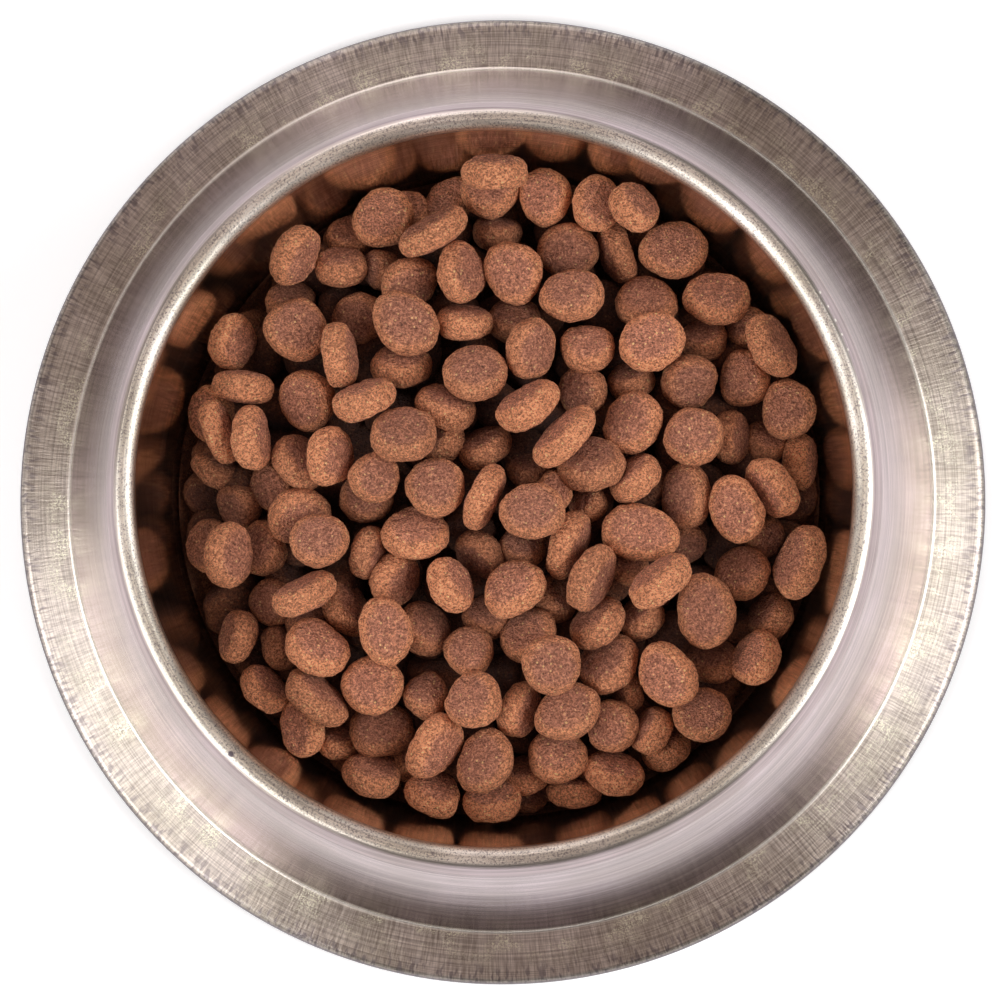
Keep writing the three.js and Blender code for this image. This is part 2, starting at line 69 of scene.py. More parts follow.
MM = 0.001
ARC_STEP = 6.0
MERGE_DISTANCE = 0.002
SHARP_ANGLE = 35.0
LOG = logging.getLogger("pet_bowl")

# Each kibble is an oval disc: place x and y, width, depth and thickness, the direction that its
# face looks in, and how far the face leans that way from lying flat. The width is the level
# diameter, across that direction.
SUNK_KIBBLES = (
    (-34, 60.5, 11.8, 11.5, 7.4, 90, 40), (-46, 42, 11.8, 11.5, 7.4, 90, 45),
    (-30.5, 38.5, 12.3, 12.8, 7.7, 200, 20), (-65.5, 17, 14.8, 12, 7.4, 190, 35),
    (-62, 4, 13.8, 11.5, 6.9, 60, 70), (-49.5, 0.5, 12.8, 12, 7.4, 200, 30),
    (-57.3, -3.3, 11.3, 10.5, 7.4, 210, 40), (-64, -12.8, 13, 11.5, 7.4, 170, 35),
    (-49.5, -25.6, 11.3, 10.8, 7.7, 180, 20), (-41.5, -30, 11.8, 11.5, 7.4, 90, 50),
    (-48.2, -35.7, 11, 10, 6.6, 20, 68), (-15.5, -31.5, 13.3, 12.5, 7.4, 40, 40),
    (-2.9, -14.8, 12.8, 11.5, 7.4, 230, 60), (-2, 9.3, 12.8, 11.5, 7.4, 115, 60),
    (-11.3, 10.5, 10.8, 10.5, 7.4, 150, 55), (4.5, 38, 12.8, 11.5, 7.4, 90, 40),
    (31, 24, 10.8, 10.5, 7.4, 110, 55), (9, 3.5, 11.8, 10.5, 6.4, 90, 50),
    (21.3, -3.3, 9.3, 9.5, 6.4, 140, 50), (30, -17.5, 9.8, 9.5, 7.4, 90, 30),
    (6.5, -13.5, 10.8, 10, 7.4, 90, 30), (13.5, -25.3, 11.3, 10.5, 7.4, 30, 45),
    (33.2, -29.3, 11.3, 10.5, 7.4, 125, 55), (62, -28.8, 11.8, 10.5, 7.4, 140, 50),
    (49, -39, 12.8, 11.5, 7.4, 90, 45), (-1.8, -29.5, 11.8, 10.5, 7.4, 90, 30),
    (-34.5, -57, 10.8, 10.5, 6.9, 90, 60), (7, -64.5, 10.8, 10, 6.9, 100, 50),
    (29.5, -45.8, 9.8, 9.5, 6.4, 200, 60), (38.5, -58.7, 11.8, 10.5, 6.9, 115, 60),
    (18, -68, 13.1, 10.5, 6.4, 90, 75), (47.2, 33.6, 11.3, 10, 7.4, 100, 35),
    (57.2, 36, 10.3, 10, 7.4, 140, 45), (53.8, 11.6, 12.6, 10.5, 7.4, 0, 60),
    (60.3, 10.3, 10.3, 9.5, 7.4, 60, 40), (68.8, 6, 13.3, 11, 6.9, 0, 72),
    (60.5, -10.7, 10.3, 9.5, 7.4, -30, 40), (43, -12, 9.8, 9.5, 7.4, -60, 30),
    (0.8, 57.8, 11.3, 10.5, 6.9, 90, 65), (-10.8, 65.8, 13.8, 10.5, 7.4, 135, 30),
    (-19.5, 64.5, 10.8, 10.8, 7.7, 90, 20), (-25.8, 49.5, 9.8, 9.5, 7.4, 180, 50),
    (-20.3, -61.5, 9.8, 9.5, 6.9, 20, 50),
)
MIDDLE_KIBBLES = (
    (-35.2, 50.3, 12.3, 11.5, 7.4, 90, 55), (-42.2, 20, 14.3, 13.3, 8, 200, 20),
    (-60, 34, 13.3, 12, 7.7, -20, 55), (-45, 6, 14.3, 12.5, 7.6, 45, 50),
    (-44.5, -6.5, 14.8, 13, 7.7, -65, 40), (-51.8, -13, 12.8, 11.8, 7.9, 170, 25),
    (-57.8, -33.4, 12.6, 10.8, 7.4, 165, 60), (-33.8, -27.2, 14.3, 12.5, 7.4, 35, 60),
    (-28.6, -14.3, 12.3, 11, 6.9, -20, 75), (-28.5, -1.8, 12.3, 11.8, 7.7, 90, 15),
    (-17.7, -10.2, 15.6, 13.8, 7.9, 90, 40), (-22.8, -20.5, 13.3, 12, 7.6, -25, 50),
    (-11.2, 18.4, 14.3, 12.5, 7.4, 65, 55), (-20.8, 28.2, 14.3, 12.5, 7.4, 90, 50),
    (-6.8, 37.3, 13.4, 12.5, 7.4, 90, 68), (21, 30.5, 12.5, 11.5, 7.4, 90, 30),
    (31, 14.8, 14.8, 13.3, 8, 150, 20), (22.4, 5.6, 15.3, 13.8, 7.7, 100, 40),
    (31.7, 1.5, 13.3, 12, 7.4, 130, 60), (43.3, -1.8, 15.6, 11.5, 7.7, 180, 35),
    (12.5, 0, 9.8, 8.8, 7.2, 0, 10), (16.7, -12.7, 16.1, 12.5, 7.2, -20, 72),
    (23.2, -30.3, 14.3, 12.5, 7.4, 130, 58), (55.6, -19.2, 12.8, 12.3, 7.9, 120, 25),
    (60, -39, 13, 11.5, 7.4, 150, 45), (26.3, -39.3, 14.8, 13.5, 7.7, 140, 35),
    (8.8, -33, 13.8, 12.5, 7.4, 130, 30), (-4.9, -36.7, 11.3, 11.8, 7.7, 90, 15),
    (-51.7, -45, 13, 10.5, 7, 45, 60), (-25.2, -54, 14.8, 13.3, 8, 90, 20),
    (-15.8, -46.3, 10.3, 12, 7.4, 90, 35), (-27.5, -65.5, 13.8, 12, 7.4, 75, 50),
    (-14, -70, 13.3, 12, 7.4, 65, 50), (-0.3, -71.3, 13.8, 11.5, 7.4, 95, 55),
    (14.4, -60, 13.4, 12.6, 7.9, 90, 20), (5.5, -50, 13.1, 11.5, 7.4, -20, 60),
    (26.8, -53.3, 12.3, 11.8, 7.9, 180, 20), (35.5, -54.3, 11.3, 10.5, 6.9, 150, 60),
    (27, -64, 14.1, 12, 7.4, 75, 55), (34.7, 42.2, 14.5, 12.8, 7.9, 90, 25),
    (56.7, 24.8, 13.2, 11.5, 7.9, 180, 20), (44.3, 24.2, 13.6, 12.8, 7.9, -60, 25),
    (28, 54.3, 14.6, 12, 6.7, 200, 75), (16.9, 54.2, 14.2, 13, 8, -90, 10),
    (-23.9, 60.4, 14.8, 13.4, 8, 135, 10), (-19.2, 47, 13.8, 12, 7.4, -60, 30),
    (20.4, 23, 11.6, 11, 7.7, 180, 25), (-43, -53.7, 13.8, 10.5, 7.4, 190, 35),
)
LOOSE_KIBBLES = (
    (31.5, 65.3, 12.3, 10.5, 7.4, 40, 45), (23, 66.2, 13.2, 12, 8, 0, 20),
    (0, 75, 15.4, 12.5, 7.4, 90, 70), (0.4, 67, 13.2, 12.6, 8, 90, 15),
    (12.7, 67, 13.8, 12.2, 8, 180, 15), (-45.4, 53.9, 14.8, 12, 7.6, -30, 62),
    (-13.6, 57.6, 17.3, 13, 7.2, 120, 72), (-7.4, 49.4, 14.4, 11.9, 7.5, 5, 50),
    (4.5, 49.2, 15, 13, 8, 210, 12), (40.5, 54.3, 16, 13.2, 8.2, 95, 10),
    (17.6, 43.6, 15, 12.7, 7.9, 98, 25), (50.3, 42.9, 15.7, 13, 7.7, 85, 30),
    (-44, 36, 14.6, 14.2, 8.2, 45, 15), (-19.8, 37.3, 16.8, 13.6, 8.2, 45, 8),
    (35.7, 33.4, 15.6, 13.4, 8, 115, 12), (63.4, 32, 15.8, 12, 7.4, 28, 55),
    (-35.2, 30, 14.8, 11.5, 7.4, 7, 78), (8.5, 31.5, 14.4, 11.5, 7.6, -15, 35),
    (-57, 23.2, 14.2, 11.5, 6.9, 82, 80), (-4.3, 26.2, 15.1, 13.7, 7.9, 90, 30),
    (67.2, 18.6, 13.7, 12.6, 8, 180, 12), (-29.3, 20.2, 15, 12.5, 7.4, 110, 70),
    (7.7, 19, 15.8, 12.5, 7.6, 125, 65), (-62, 13, 15.4, 11, 6.9, 20, 80),
    (-54.2, 11.6, 14.9, 11.6, 7.4, 5, 72), (-20.8, 12.3, 15.2, 13.5, 7.8, 90, 35),
    (16.1, 11.7, 18.2, 12.5, 6.8, 135, 66), (44.9, 11.6, 14.4, 13.2, 8, 110, 12),
    (-37, 7.4, 13.7, 12.2, 7.4, -10, 50), (-26.8, 3, 12, 11.6, 7.9, 0, 20),
    (-13.3, 0.2, 13.8, 13.6, 8.1, 90, 15), (62.4, -0.2, 15, 12, 7.4, 215, 60),
    (-2.3, -1.8, 16, 11.5, 6.6, -25, 84), (8.8, -5, 15.2, 12.6, 8, 95, 10),
    (54.7, -4.5, 15.6, 12, 8, 200, 15), (33.4, -9.8, 17.8, 13.3, 8.2, 80, 10),
    (-39, -12.2, 14, 12.4, 8, 90, 12), (-59.8, -15, 15.2, 13, 7.7, 0, 55),
    (68.9, -16.7, 17.6, 13, 7.6, 160, 55), (37.1, -20.3, 15.8, 12.5, 7.6, 130, 68),
    (22, -20.1, 16.2, 12.5, 7.6, -28, 68), (-9.6, -21.5, 13.6, 11.5, 7.4, 28, 62),
    (4.3, -22.2, 14.8, 12.8, 7.9, 120, 28), (-42.3, -23.3, 15.4, 12, 7.2, 115, 72),
    (48, -27.5, 17.2, 13.2, 8.2, 187, 10), (-24.2, -31.8, 16, 12.2, 8.1, 8, 10),
    (-39.7, -35.6, 15.4, 13.1, 7.6, 60, 38), (12.6, -39.4, 13.6, 13.4, 8.1, 0, 8),
    (38.5, -42, 15.8, 12.6, 8, 215, 20), (-27.8, -45, 14.1, 13.9, 8.1, 90, 6),
    (-38.8, -46.7, 16.8, 12.3, 7.2, 48, 66), (-4.6, -46.9, 13.2, 12.8, 8, 150, 25),
    (16.6, -50.3, 15.8, 12.8, 8, 120, 20), (46.8, -51.3, 13.6, 12.7, 8, 90, 20),
    (-13.3, -58.1, 16, 12.5, 7.6, -35, 55), (-1.8, -61, 15.3, 12.8, 7.9, 150, 25),
)


class KibbleRow(NamedTuple):
    """One kibble of the lists, in millimetres and degrees."""

    x: float
    y: float
    width: float
    depth: float
    thickness: float
    faces: float
    lean: float


@dataclass(frozen=True)
class LayerRule:
    """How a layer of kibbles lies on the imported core, in shares of a kibble's own height."""

    start: float
    level: float
    lowest: float
    highest: float
    sides: int
    rings: int


class Layer(Enum):
    """The layers of kibbles, from the deepest up."""

    SUNK = LayerRule(-0.1, -0.1, -0.3, 0.2, 6, 2)
    MIDDLE = LayerRule(0.3, 0.3, 0.0, 0.38, 8, 3)
    LOOSE = LayerRule(1.2, 0.65, 0.0, 5.0, 8, 4)


def unit(degrees: float) -> np.ndarray:
    """Unit vector at an angle, as (out, up)."""
    return np.array([math.cos(math.radians(degrees)), math.sin(math.radians(degrees))])


def arc(centre: np.ndarray, radius: float, start: float, end: float) -> list[np.ndarray]:
    """Points of an arc, at most ARC_STEP degrees apart.

    Args:
        centre: Its centre, as (out, up).
        radius: Its radius.
        start: The angle of the first point, in degrees.
        end: The angle of the last point.

    Returns:
        The points in order.
    """
    steps = max(2, math.ceil(abs(end - start) / ARC_STEP))
    return [centre + radius * unit(start + (end - start) * i / steps) for i in range(steps + 1)]


def centre_between(
    first: tuple[np.ndarray, np.ndarray], second: tuple[np.ndarray, np.ndarray], distance: float
) -> np.ndarray:
    """The point that lies the given distance in front of two lines.

    Args:
        first: A normal and a point of the first line.
        second: A normal and a point of the second line.
        distance: How far in front of both the point lies.

    Returns:
        The point, as (out, up).
    """
    (normal_a, point_a), (normal_b, point_b) = first, second
    a = normal_a @ point_a + distance
    b = normal_b @ point_b + distance
    cross = normal_a[0] * normal_b[1] - normal_a[1] * normal_b[0]
    return np.array([a * normal_b[1] - b * normal_a[1], b * normal_a[0] - a * normal_b[0]]) / cross


class Bench:
    """The moves that every piece is modelled with."""

    @staticmethod
    def clear() -> None:
        """Leave object mode's selection empty."""
        bpy.ops.object.select_all(action="DESELECT")

    @staticmethod
    def only(piece: bpy.types.Object) -> None:
        """Select one piece and make it the active one."""
        Bench.clear()
        piece.select_set(True)
        bpy.context.view_layer.objects.active = piece

    @staticmethod
    def added(name: str) -> bpy.types.Object:
        """Name the primitive that was just added, and return it."""
        piece = bpy.context.object
        piece.name = piece.data.name = name
        return piece

    @staticmethod
    def select_faces(
        piece: bpy.types.Object, test: Callable[[bpy.types.MeshPolygon], bool]
    ) -> None:
        """Select the faces that pass a test, and enter edit mode on them.

        Args:
            piece: The piece, in object mode.
            test: Says whether a face is to be selected.
        """
        Bench.only(piece)
        bpy.ops.object.mode_set(mode="EDIT")
        bpy.ops.mesh.select_mode(type="FACE")
        bpy.ops.mesh.select_all(action="DESELECT")
        bpy.ops.object.mode_set(mode="OBJECT")
        for face in piece.data.polygons:
            face.select = test(face)
        bpy.ops.object.mode_set(mode="EDIT")

    @staticmethod
    def apply(piece: bpy.types.Object, kind: str, **settings: object) -> None:
        """Put a modifier on a piece and apply it.

        Args:
            piece: The piece, in object mode.
            kind: The modifier's type.
            **settings: Its settings by name.
        """
        modifier = piece.modifiers.new(kind.lower(), kind)
        for key, value in settings.items():
            setattr(modifier, key, value)
        Bench.only(piece)
        bpy.ops.object.modifier_apply(modifier=modifier.name)

    @staticmethod
    def turned(name: str, section: Sequence[Sequence[float]], sides: int) -> bpy.types.Object:
        """Turn a closed section round the upright axis.

        Args:
            name: The name of the piece.
            section: Its points in order, in millimetres out and up.
            sides: How many facets go round.

        Returns:
            The closed piece, smooth but for its corners.
        """
        Bench.clear()
        bpy.ops.mesh.primitive_circle_add(vertices=len(section), radius=MM)
        piece = Bench.added(name)
        for vertex, (out, up) in zip(piece.data.vertices, section):
            vertex.co = (out * MM, 0, up * MM)
        bpy.ops.object.mode_set(mode="EDIT")
        bpy.ops.mesh.select_all(action="SELECT")
        bpy.ops.mesh.spin(steps=sides, angle=math.tau, center=(0, 0, 0), axis=(0, 0, 1))
        bpy.ops.mesh.select_all(action="SELECT")
        bpy.ops.mesh.remove_doubles(threshold=MERGE_DISTANCE * MM)
        bpy.ops.mesh.delete_loose(use_verts=True, use_edges=True, use_faces=False)
        bpy.ops.mesh.select_all(action="SELECT")
        bpy.ops.mesh.normals_make_consistent(inside=False)
        bpy.ops.object.mode_set(mode="OBJECT")
        bpy.ops.object.shade_smooth_by_angle(angle=math.radians(SHARP_ANGLE))
        return piece

    @staticmethod
    def joined(name: str, pieces: list[bpy.types.Object]) -> bpy.types.Object:
        """Join pieces into one object.

        Args:
            name: The name of the joined piece.
            pieces: The pieces, of which the first takes in the others.

        Returns:
            The joined piece.
        """
        Bench.clear()
        for piece in pieces:
            piece.select_set(True)
        bpy.context.view_layer.objects.active = pieces[0]
        bpy.ops.object.join()
        return Bench.added(name)


def corners(piece: bpy.types.Object) -> np.ndarray:
    """The piece's points.

    Args:
        piece: The piece.

    Returns:
        One row for each point, in metres.
    """
    flat = np.empty(len(piece.data.vertices) * 3, np.float32)
    piece.data.vertices.foreach_get("co", flat)
    return flat.reshape(-1, 3).astype(float)


def move_corners(piece: bpy.types.Object, points: np.ndarray) -> None:
    """Put the piece's points in new places."""
    piece.data.vertices.foreach_set("co", points.astype(np.float32).ravel())
    piece.data.update()


class Signal:
    """A value that varies over a surface, with the arithmetic of plain numbers."""

    def __init__(self, graph: "Graph", socket: bpy.types.NodeSocket) -> None:
        """Wrap a node's output."""
        self.graph = graph
        self.socket = socket

    def math(self, operation: str, *values: "Signal | float") -> "Signal":
        """Feed values to a Math node."""
        return self.graph.add("ShaderNodeMath", {"operation": operation}, dict(enumerate(values)))

    def __add__(self, other: "Signal | float") -> "Signal":
        """Sum."""
        return self.math("ADD", self, other)

    def __sub__(self, other: "Signal | float") -> "Signal":
        """Difference."""
        return self.math("SUBTRACT", self, other)

    def __rsub__(self, other: "Signal | float") -> "Signal":
        """Difference from a number."""
        return self.math("SUBTRACT", other, self)

    def __mul__(self, other: "Signal | float") -> "Signal":
        """Product."""
        return self.math("MULTIPLY", self, other)

    def __truediv__(self, other: "Signal | float") -> "Signal":
        """Quotient."""
        return self.math("DIVIDE", self, other)

    def __pow__(self, other: "Signal | float") -> "Signal":
        """Power."""
        return self.math("POWER", self, other)

    __radd__ = __add__
    __rmul__ = __mul__

    def rise(self, low: float, high: float) -> "Signal":
        """A smooth step from 0 at low to 1 at high."""
        return self.graph.add(
            "ShaderNodeMapRange",
            {"interpolation_type": "SMOOTHSTEP"},
            {"Value": self, "From Min": low, "From Max": high},
        )

    def band(self, low: float, high: float, soft: float) -> "Signal":
        """1 between two values and 0 outside them, with soft ends."""
        return self.rise(low - soft, low + soft) * (1 - self.rise(high - soft, high + soft))


class Graph:
    """The nodes of one material, or of the sky."""

    def __init__(self, owner: bpy.types.Material | bpy.types.World) -> None:
        """Start an empty graph."""
        self.owner = owner
        owner.use_nodes = True
        self.tree = owner.node_tree
        self.tree.nodes.clear()

    @staticmethod
    def named(name: str) -> "Graph":
        """Start a material."""
        return Graph(bpy.data.materials.new(name))

    def add(
        self,
        kind: str,
        settings: dict[str, object] | None = None,
        inputs: dict[str | int, object] | None = None,
        output: str | int = 0,
    ) -> Signal:
        """Add a node.

        Args:
            kind: The node's type.
            settings: Its properties, set first.
            inputs: Values or signals for its sockets, by name or index.
            output: The socket to return.

        Returns:
            The chosen output.
        """
        node = self.tree.nodes.new(kind)
        for key, value in (settings or {}).items():
            setattr(node, key, value)
        for key, value in (inputs or {}).items():
            if isinstance(value, Signal):
                self.tree.links.new(value.socket, node.inputs[key])
            else:
                node.inputs[key].default_value = value
        return Signal(self, node.outputs[output])

    def place(self) -> Signal:
        """The place on the object, in millimetres."""
        spot = self.add("ShaderNodeTexCoord", output="Object")
        return self.add("ShaderNodeVectorMath", {"operation": "SCALE"}, {0: spot, "Scale": 1 / MM})

    def parts(self, vector: Signal) -> tuple[Signal, Signal, Signal]:
        """The three parts of a vector.

        Args:
            vector: The vector.

        Returns:
            Its x, y and z.
        """
        first = self.add("ShaderNodeSeparateXYZ", inputs={0: vector})
        outputs = first.socket.node.outputs
        return first, Signal(self, outputs[1]), Signal(self, outputs[2])

    def vector(self, x: Signal | float, y: Signal | float, z: Signal | float) -> Signal:
        """A vector of three values."""
        return self.add("ShaderNodeCombineXYZ", inputs={0: x, 1: y, 2: z})

    def distance(self, at: Signal, middle: tuple[float, float, float]) -> Signal:
        """How far a place is from a fixed one."""
        settings = {"operation": "DISTANCE"}
        return self.add("ShaderNodeVectorMath", settings, {0: at, 1: middle}, "Value")

    def noise(self, at: Signal, size: float, detail: float, rough: float) -> Signal:
        """Soft noise, from 0 to 1.

        Args:
            at: Where it is read.
            size: The size of its lumps.
            detail: How many finer layers it has.
            rough: How strong those are.

        Returns:
            The noise.
        """
        values = {"Vector": at, "Scale": 1 / size, "Detail": detail, "Roughness": rough}
        return self.add("ShaderNodeTexNoise", inputs=values)

    def cells(self, at: Signal, size: float) -> Signal:
        """The distance to the nearest of a scatter of points."""
        return self.add("ShaderNodeTexVoronoi", inputs={"Vector": at, "Scale": 1 / size})

    def blend(self, share: Signal | float, first: object, second: object) -> Signal:
        """Mix two colours."""
        values = {0: share, 6: first, 7: second}
        return self.add("ShaderNodeMix", {"data_type": "RGBA"}, values, output=2)

    def times(self, first: Signal, second: Signal) -> Signal:
        """Multiply two colours."""
        settings = {"data_type": "RGBA", "blend_type": "MULTIPLY"}
        return self.add("ShaderNodeMix", settings, {0: 1.0, 6: first, 7: second}, output=2)

    def carried(self, name: str) -> Signal:
        """A number that the mesh carries at its points."""
        return self.add("ShaderNodeAttribute", {"attribute_name": name}, output="Fac")

    def finish(
        self, height: Signal | None, depth: float, inputs: dict[str, object]
    ) -> bpy.types.Material:
        """Close the material with its shader.

        Args:
            height: The relief that turns the surface's normal, or None.
            depth: The height of that relief, in millimetres.
            inputs: Values or signals for the shader's sockets.

        Returns:
            The material.
        """
        if height is not None:
            inputs["Normal"] = self.add(
                "ShaderNodeBump", inputs={"Strength": 1.0, "Distance": depth * MM, "Height": height}
            )
        shader = self.add("ShaderNodeBsdfPrincipled", inputs=inputs)
        self.output("ShaderNodeOutputMaterial", shader)
        return self.owner

    def output(self, kind: str, shader: Signal) -> None:
        """Link a shader to the graph's surface."""
        node = self.tree.nodes.new(kind)
        self.tree.links.new(shader.socket, node.inputs["Surface"])


Colour = tuple[float, float, float, float]
Spot = tuple[float, float, float, float]
Span = tuple[float, float]


def colour(red: float, green: float, blue: float) -> Colour:
    """An opaque colour."""
    return (red, green, blue, 1.0)


class Mottle(NamedTuple):
    """Even noise: the size of its lumps in millimetres, its finer layers and their strength."""

    size: float
    detail: float
    rough: float


@dataclass(frozen=True)
class SpunNoise:
    """Noise that a lathe or a brush drew out: its lumps to a radian and to a millimetre."""

    around: float
    along: float
    detail: float
    rough: float

    def drawn(self, graph: Graph, east: Signal, north: Signal, along: Signal) -> Signal:
        """Draw the noise round the upright axis.

        Args:
            graph: The material's nodes.
            east: The x part of the direction out from the axis.
            north: Its y part.
            along: The way along the section.

        Returns:
            The noise.
        """
        spot = graph.vector(east * self.around, north * self.around, along * self.along)
        return graph.noise(spot, 1.0, self.detail, self.rough)


@dataclass(frozen=True)
class Shade:
    """A tint that goes from one colour to another as a signal crosses a span."""

    span: Span
    dark: Colour
    light: Colour

    def over(self, graph: Graph, base: Signal, value: Signal) -> Signal:
        """Tint a colour by the signal."""
        return graph.times(base, graph.blend(value.rise(*self.span), self.dark, self.light))


@dataclass(frozen=True)
class SpunSteel:
    """Stainless steel: polished wall, lip and skirt, grainy worn crest, brushed base flange.

    Names with at or from are spans out from the axis, and heights are spans up, in millimetres.
    Names with rise are spans of a noise, and those with share say how strongly a mark covers.
    """

    # Painted reflection: the wall's light, warm tint brightens the food it mirrors, and the skirt's
    # darker mauve tint stands in for the dim pinkish room it mirrors.
    wall: Colour = colour(0.80, 0.73, 0.69)
    crest: Colour = colour(0.92, 0.87, 0.79)
    skirt: Colour = colour(0.50, 0.415, 0.435)
    flange: Colour = colour(0.54, 0.49, 0.455)
    speck: Colour = colour(0.90, 0.90, 0.70)
    crumb: Colour = colour(1.0, 0.95, 0.85)
    # Dark grime on the ticks, pits and nicks, and painted shade on the turned-down outer edge.
    grime_and_shade: Colour = colour(0.16, 0.14, 0.16)
    nicks: tuple[Spot, ...] = ((-58.0, -59.5, 56.0, 0.9),)
    # Painted glints: light spots where small dents in the lip catch the light.
    dent_glints: tuple[Spot, ...] = (
        (73.0, 43.0, 55.2, 0.45),
        (74.8, 39.9, 55.2, 0.4),
        (76.4, 36.8, 55.2, 0.5),
        (77.8, 33.6, 55.2, 0.4),
        (79.0, 30.2, 55.2, 0.45),
    )

    crest_at: Span = (80.2, 84.0)
    crest_heights: Span = (50.0, 52.0)
    crest_blur: float = 0.35
    band_at: Span = (84.0, 87.0)
    band_heights: Span = (46.0, 48.0)
    band_blur: float = 0.4
    skirt_from: Span = (84.2, 85.0)
    flange_from: Span = (101.5, 102.3)
    crease_at: Span = (101.5, 102.5)
    crease_blur: float = 0.25
    edge_from: Span = (113.7, 114.2)
    tick_from: Span = (108.0, 112.5)
    speck_to: Span = (102.9, 111.9)
    axis_guard: float = 0.01

    rings: SpunNoise = SpunNoise(1.2, 1.9, 2.0, 0.7)
    fine_rings: SpunNoise = SpunNoise(7.0, 4.0, 1.0, 0.6)
    wide_rings: SpunNoise = SpunNoise(0.8, 0.45, 2.0, 0.7)
    streaks: SpunNoise = SpunNoise(230.0, 0.13, 2.0, 0.75)
    ticks: SpunNoise = SpunNoise(110.0, 0.3, 1.0, 0.7)
    ring_share: float = 0.6
    grain: Mottle = Mottle(0.45, 2.0, 0.75)
    cloud: Mottle = Mottle(26.0, 2.0, 0.6)
    patch: Mottle = Mottle(8.0, 3.0, 0.7)

    cloud_shade: Shade = Shade((0.35, 0.7), colour(0.84, 0.84, 0.79), colour(1.04, 1.04, 1.04))
    ring_shade: Shade = Shade((0.36, 0.64), colour(0.74, 0.74, 0.74), colour(1.20, 1.20, 1.19))
    wide_shade: Shade = Shade((0.4, 0.6), colour(0.86, 0.84, 0.85), colour(1.10, 1.10, 1.10))
    streak_shade: Shade = Shade((0.32, 0.68), colour(0.78, 0.77, 0.76), colour(1.2, 1.2, 1.19))

    tick_rise: Span = (0.50, 0.62)
    tick_share: float = 0.6
    speck_patch_rise: Span = (0.46, 0.60)
    speck_grain_rise: Span = (0.47, 0.58)
    speck_share: float = 0.75
    crumb_pitch: float = 4.5
    crumb_rise: Span = (0.062, 0.045)
    crumb_patch_rise: Span = (0.45, 0.5)
    pit_rise: Span = (0.50, 0.36)
    pit_share: float = 0.7
    crease_highlight_share: float = 0.7
    edge_shade_share: float = 0.8

    wall_roughness: float = 0.14
    crest_roughness: float = 0.45
    band_roughness: float = 0.38
    skirt_roughness: float = 0.19
    flange_roughness: float = 0.38
    ring_roughness: float = 0.14
    streak_roughness: float = 0.25
    ring_relief: float = 0.03
    skirt_relief: float = 0.07
    flange_relief: float = 0.35
    streak_relief: float = 0.9
    grain_relief: float = 1.6
    relief_depth: float = 0.04
    brushing: float = 0.5
    brushing_turn: float = 0.25

    def material(self) -> bpy.types.Material:
        """Mix the finish.

        Returns:
            The material.
        """
        graph = Graph.named("spun_steel")
        at = graph.place()
        x, y, z = graph.parts(at)
        radius = (x * x + y * y + self.axis_guard) ** 0.5
        along = radius - z
        east, north = x / radius, y / radius
        rings, fine_rings, wide_rings, streaks, ticks = (
            noise.drawn(graph, east, north, along)
            for noise in (self.rings, self.fine_rings, self.wide_rings, self.streaks, self.ticks)
        )
        lines = rings * self.ring_share + fine_rings * (1 - self.ring_share)
        grain, cloud, patch = (graph.noise(at, *m) for m in (self.grain, self.cloud, self.patch))

        crest = radius.band(*self.crest_at, self.crest_blur) * z.rise(*self.crest_heights)
        band = radius.band(*self.band_at, self.band_blur) * z.rise(*self.band_heights)
        flange = radius.rise(*self.flange_from)
        skirt = radius.rise(*self.skirt_from) * (1 - flange)
        # The wall and skirt tints carry painted reflection colour.
        base: Signal | Colour = self.wall
        for zone, tint in ((skirt, self.skirt), (flange, self.flange), (crest, self.crest)):
            base = graph.blend(zone, base, tint)
        base = self.cloud_shade.over(graph, base, cloud)
        base = self.ring_shade.over(graph, base, lines)
        base = graph.blend(skirt, base, self.wide_shade.over(graph, base, wide_rings))
        base = graph.blend(flange, base, self.streak_shade.over(graph, base, streaks))

        ticked = flange * radius.rise(*self.tick_from) * ticks.rise(*self.tick_rise)
        speckled = flange * (1 - radius.rise(*self.speck_to)) * patch.rise(*self.speck_patch_rise)
        speckled = speckled * grain.rise(*self.speck_grain_rise)
        crumbs = graph.cells(at, self.crumb_pitch).rise(*self.crumb_rise)
        crumbs = crumbs * (1 - skirt) * (1 - flange) * patch.rise(*self.crumb_patch_rise)
        pitted = crest * grain.rise(*self.pit_rise)
        # Painted highlight: a light line in the crest's colour along the crease between skirt and
        # flange.
        crease = radius.band(*self.crease_at, self.crease_blur)
        for mark, tint in (
            (ticked * self.tick_share, self.grime_and_shade),
            (speckled * self.speck_share, self.speck),
            (crumbs, self.crumb),
            (pitted * self.pit_share, self.grime_and_shade),
            (crease * self.crease_highlight_share, self.crest),
        ):
            base = graph.blend(mark, base, tint)
        # Dark nicks, and light spots painted as the glints of dents.
        for tint, spots in ((self.grime_and_shade, self.nicks), (self.crumb, self.dent_glints)):
            for *middle, size in spots:
                away = graph.distance(at, tuple(middle))
                base = graph.blend(away.rise(size, size / 2), base, tint)
        # Painted shade: a dark line round the turned-down outer edge.
        base = graph.blend(radius.rise(*self.edge_from) * self.edge_shade_share, base, self.grime_and_shade)

        roughness = (
            self.wall_roughness
            + (self.skirt_roughness - self.wall_roughness) * skirt
            + (self.flange_roughness - self.wall_roughness) * flange
            + (self.crest_roughness - self.wall_roughness) * crest
            + (self.band_roughness - self.skirt_roughness) * band
            + self.ring_roughness * (lines - 0.5) * (skirt + flange)
            + self.streak_roughness * (streaks - 0.5) * flange
        )
        relief = (
            rings * (self.ring_relief + self.skirt_relief * skirt + self.flange_relief * flange)
            + streaks * flange * self.streak_relief
            + grain * crest * self.grain_relief
        )
        values = {
            "Base Color": base,
            "Metallic": 1.0,
            "Roughness": roughness,
            "Anisotropic": self.brushing,
            "Anisotropic Rotation": self.brushing_turn,
        }
        return graph.finish(relief, self.relief_depth, values)


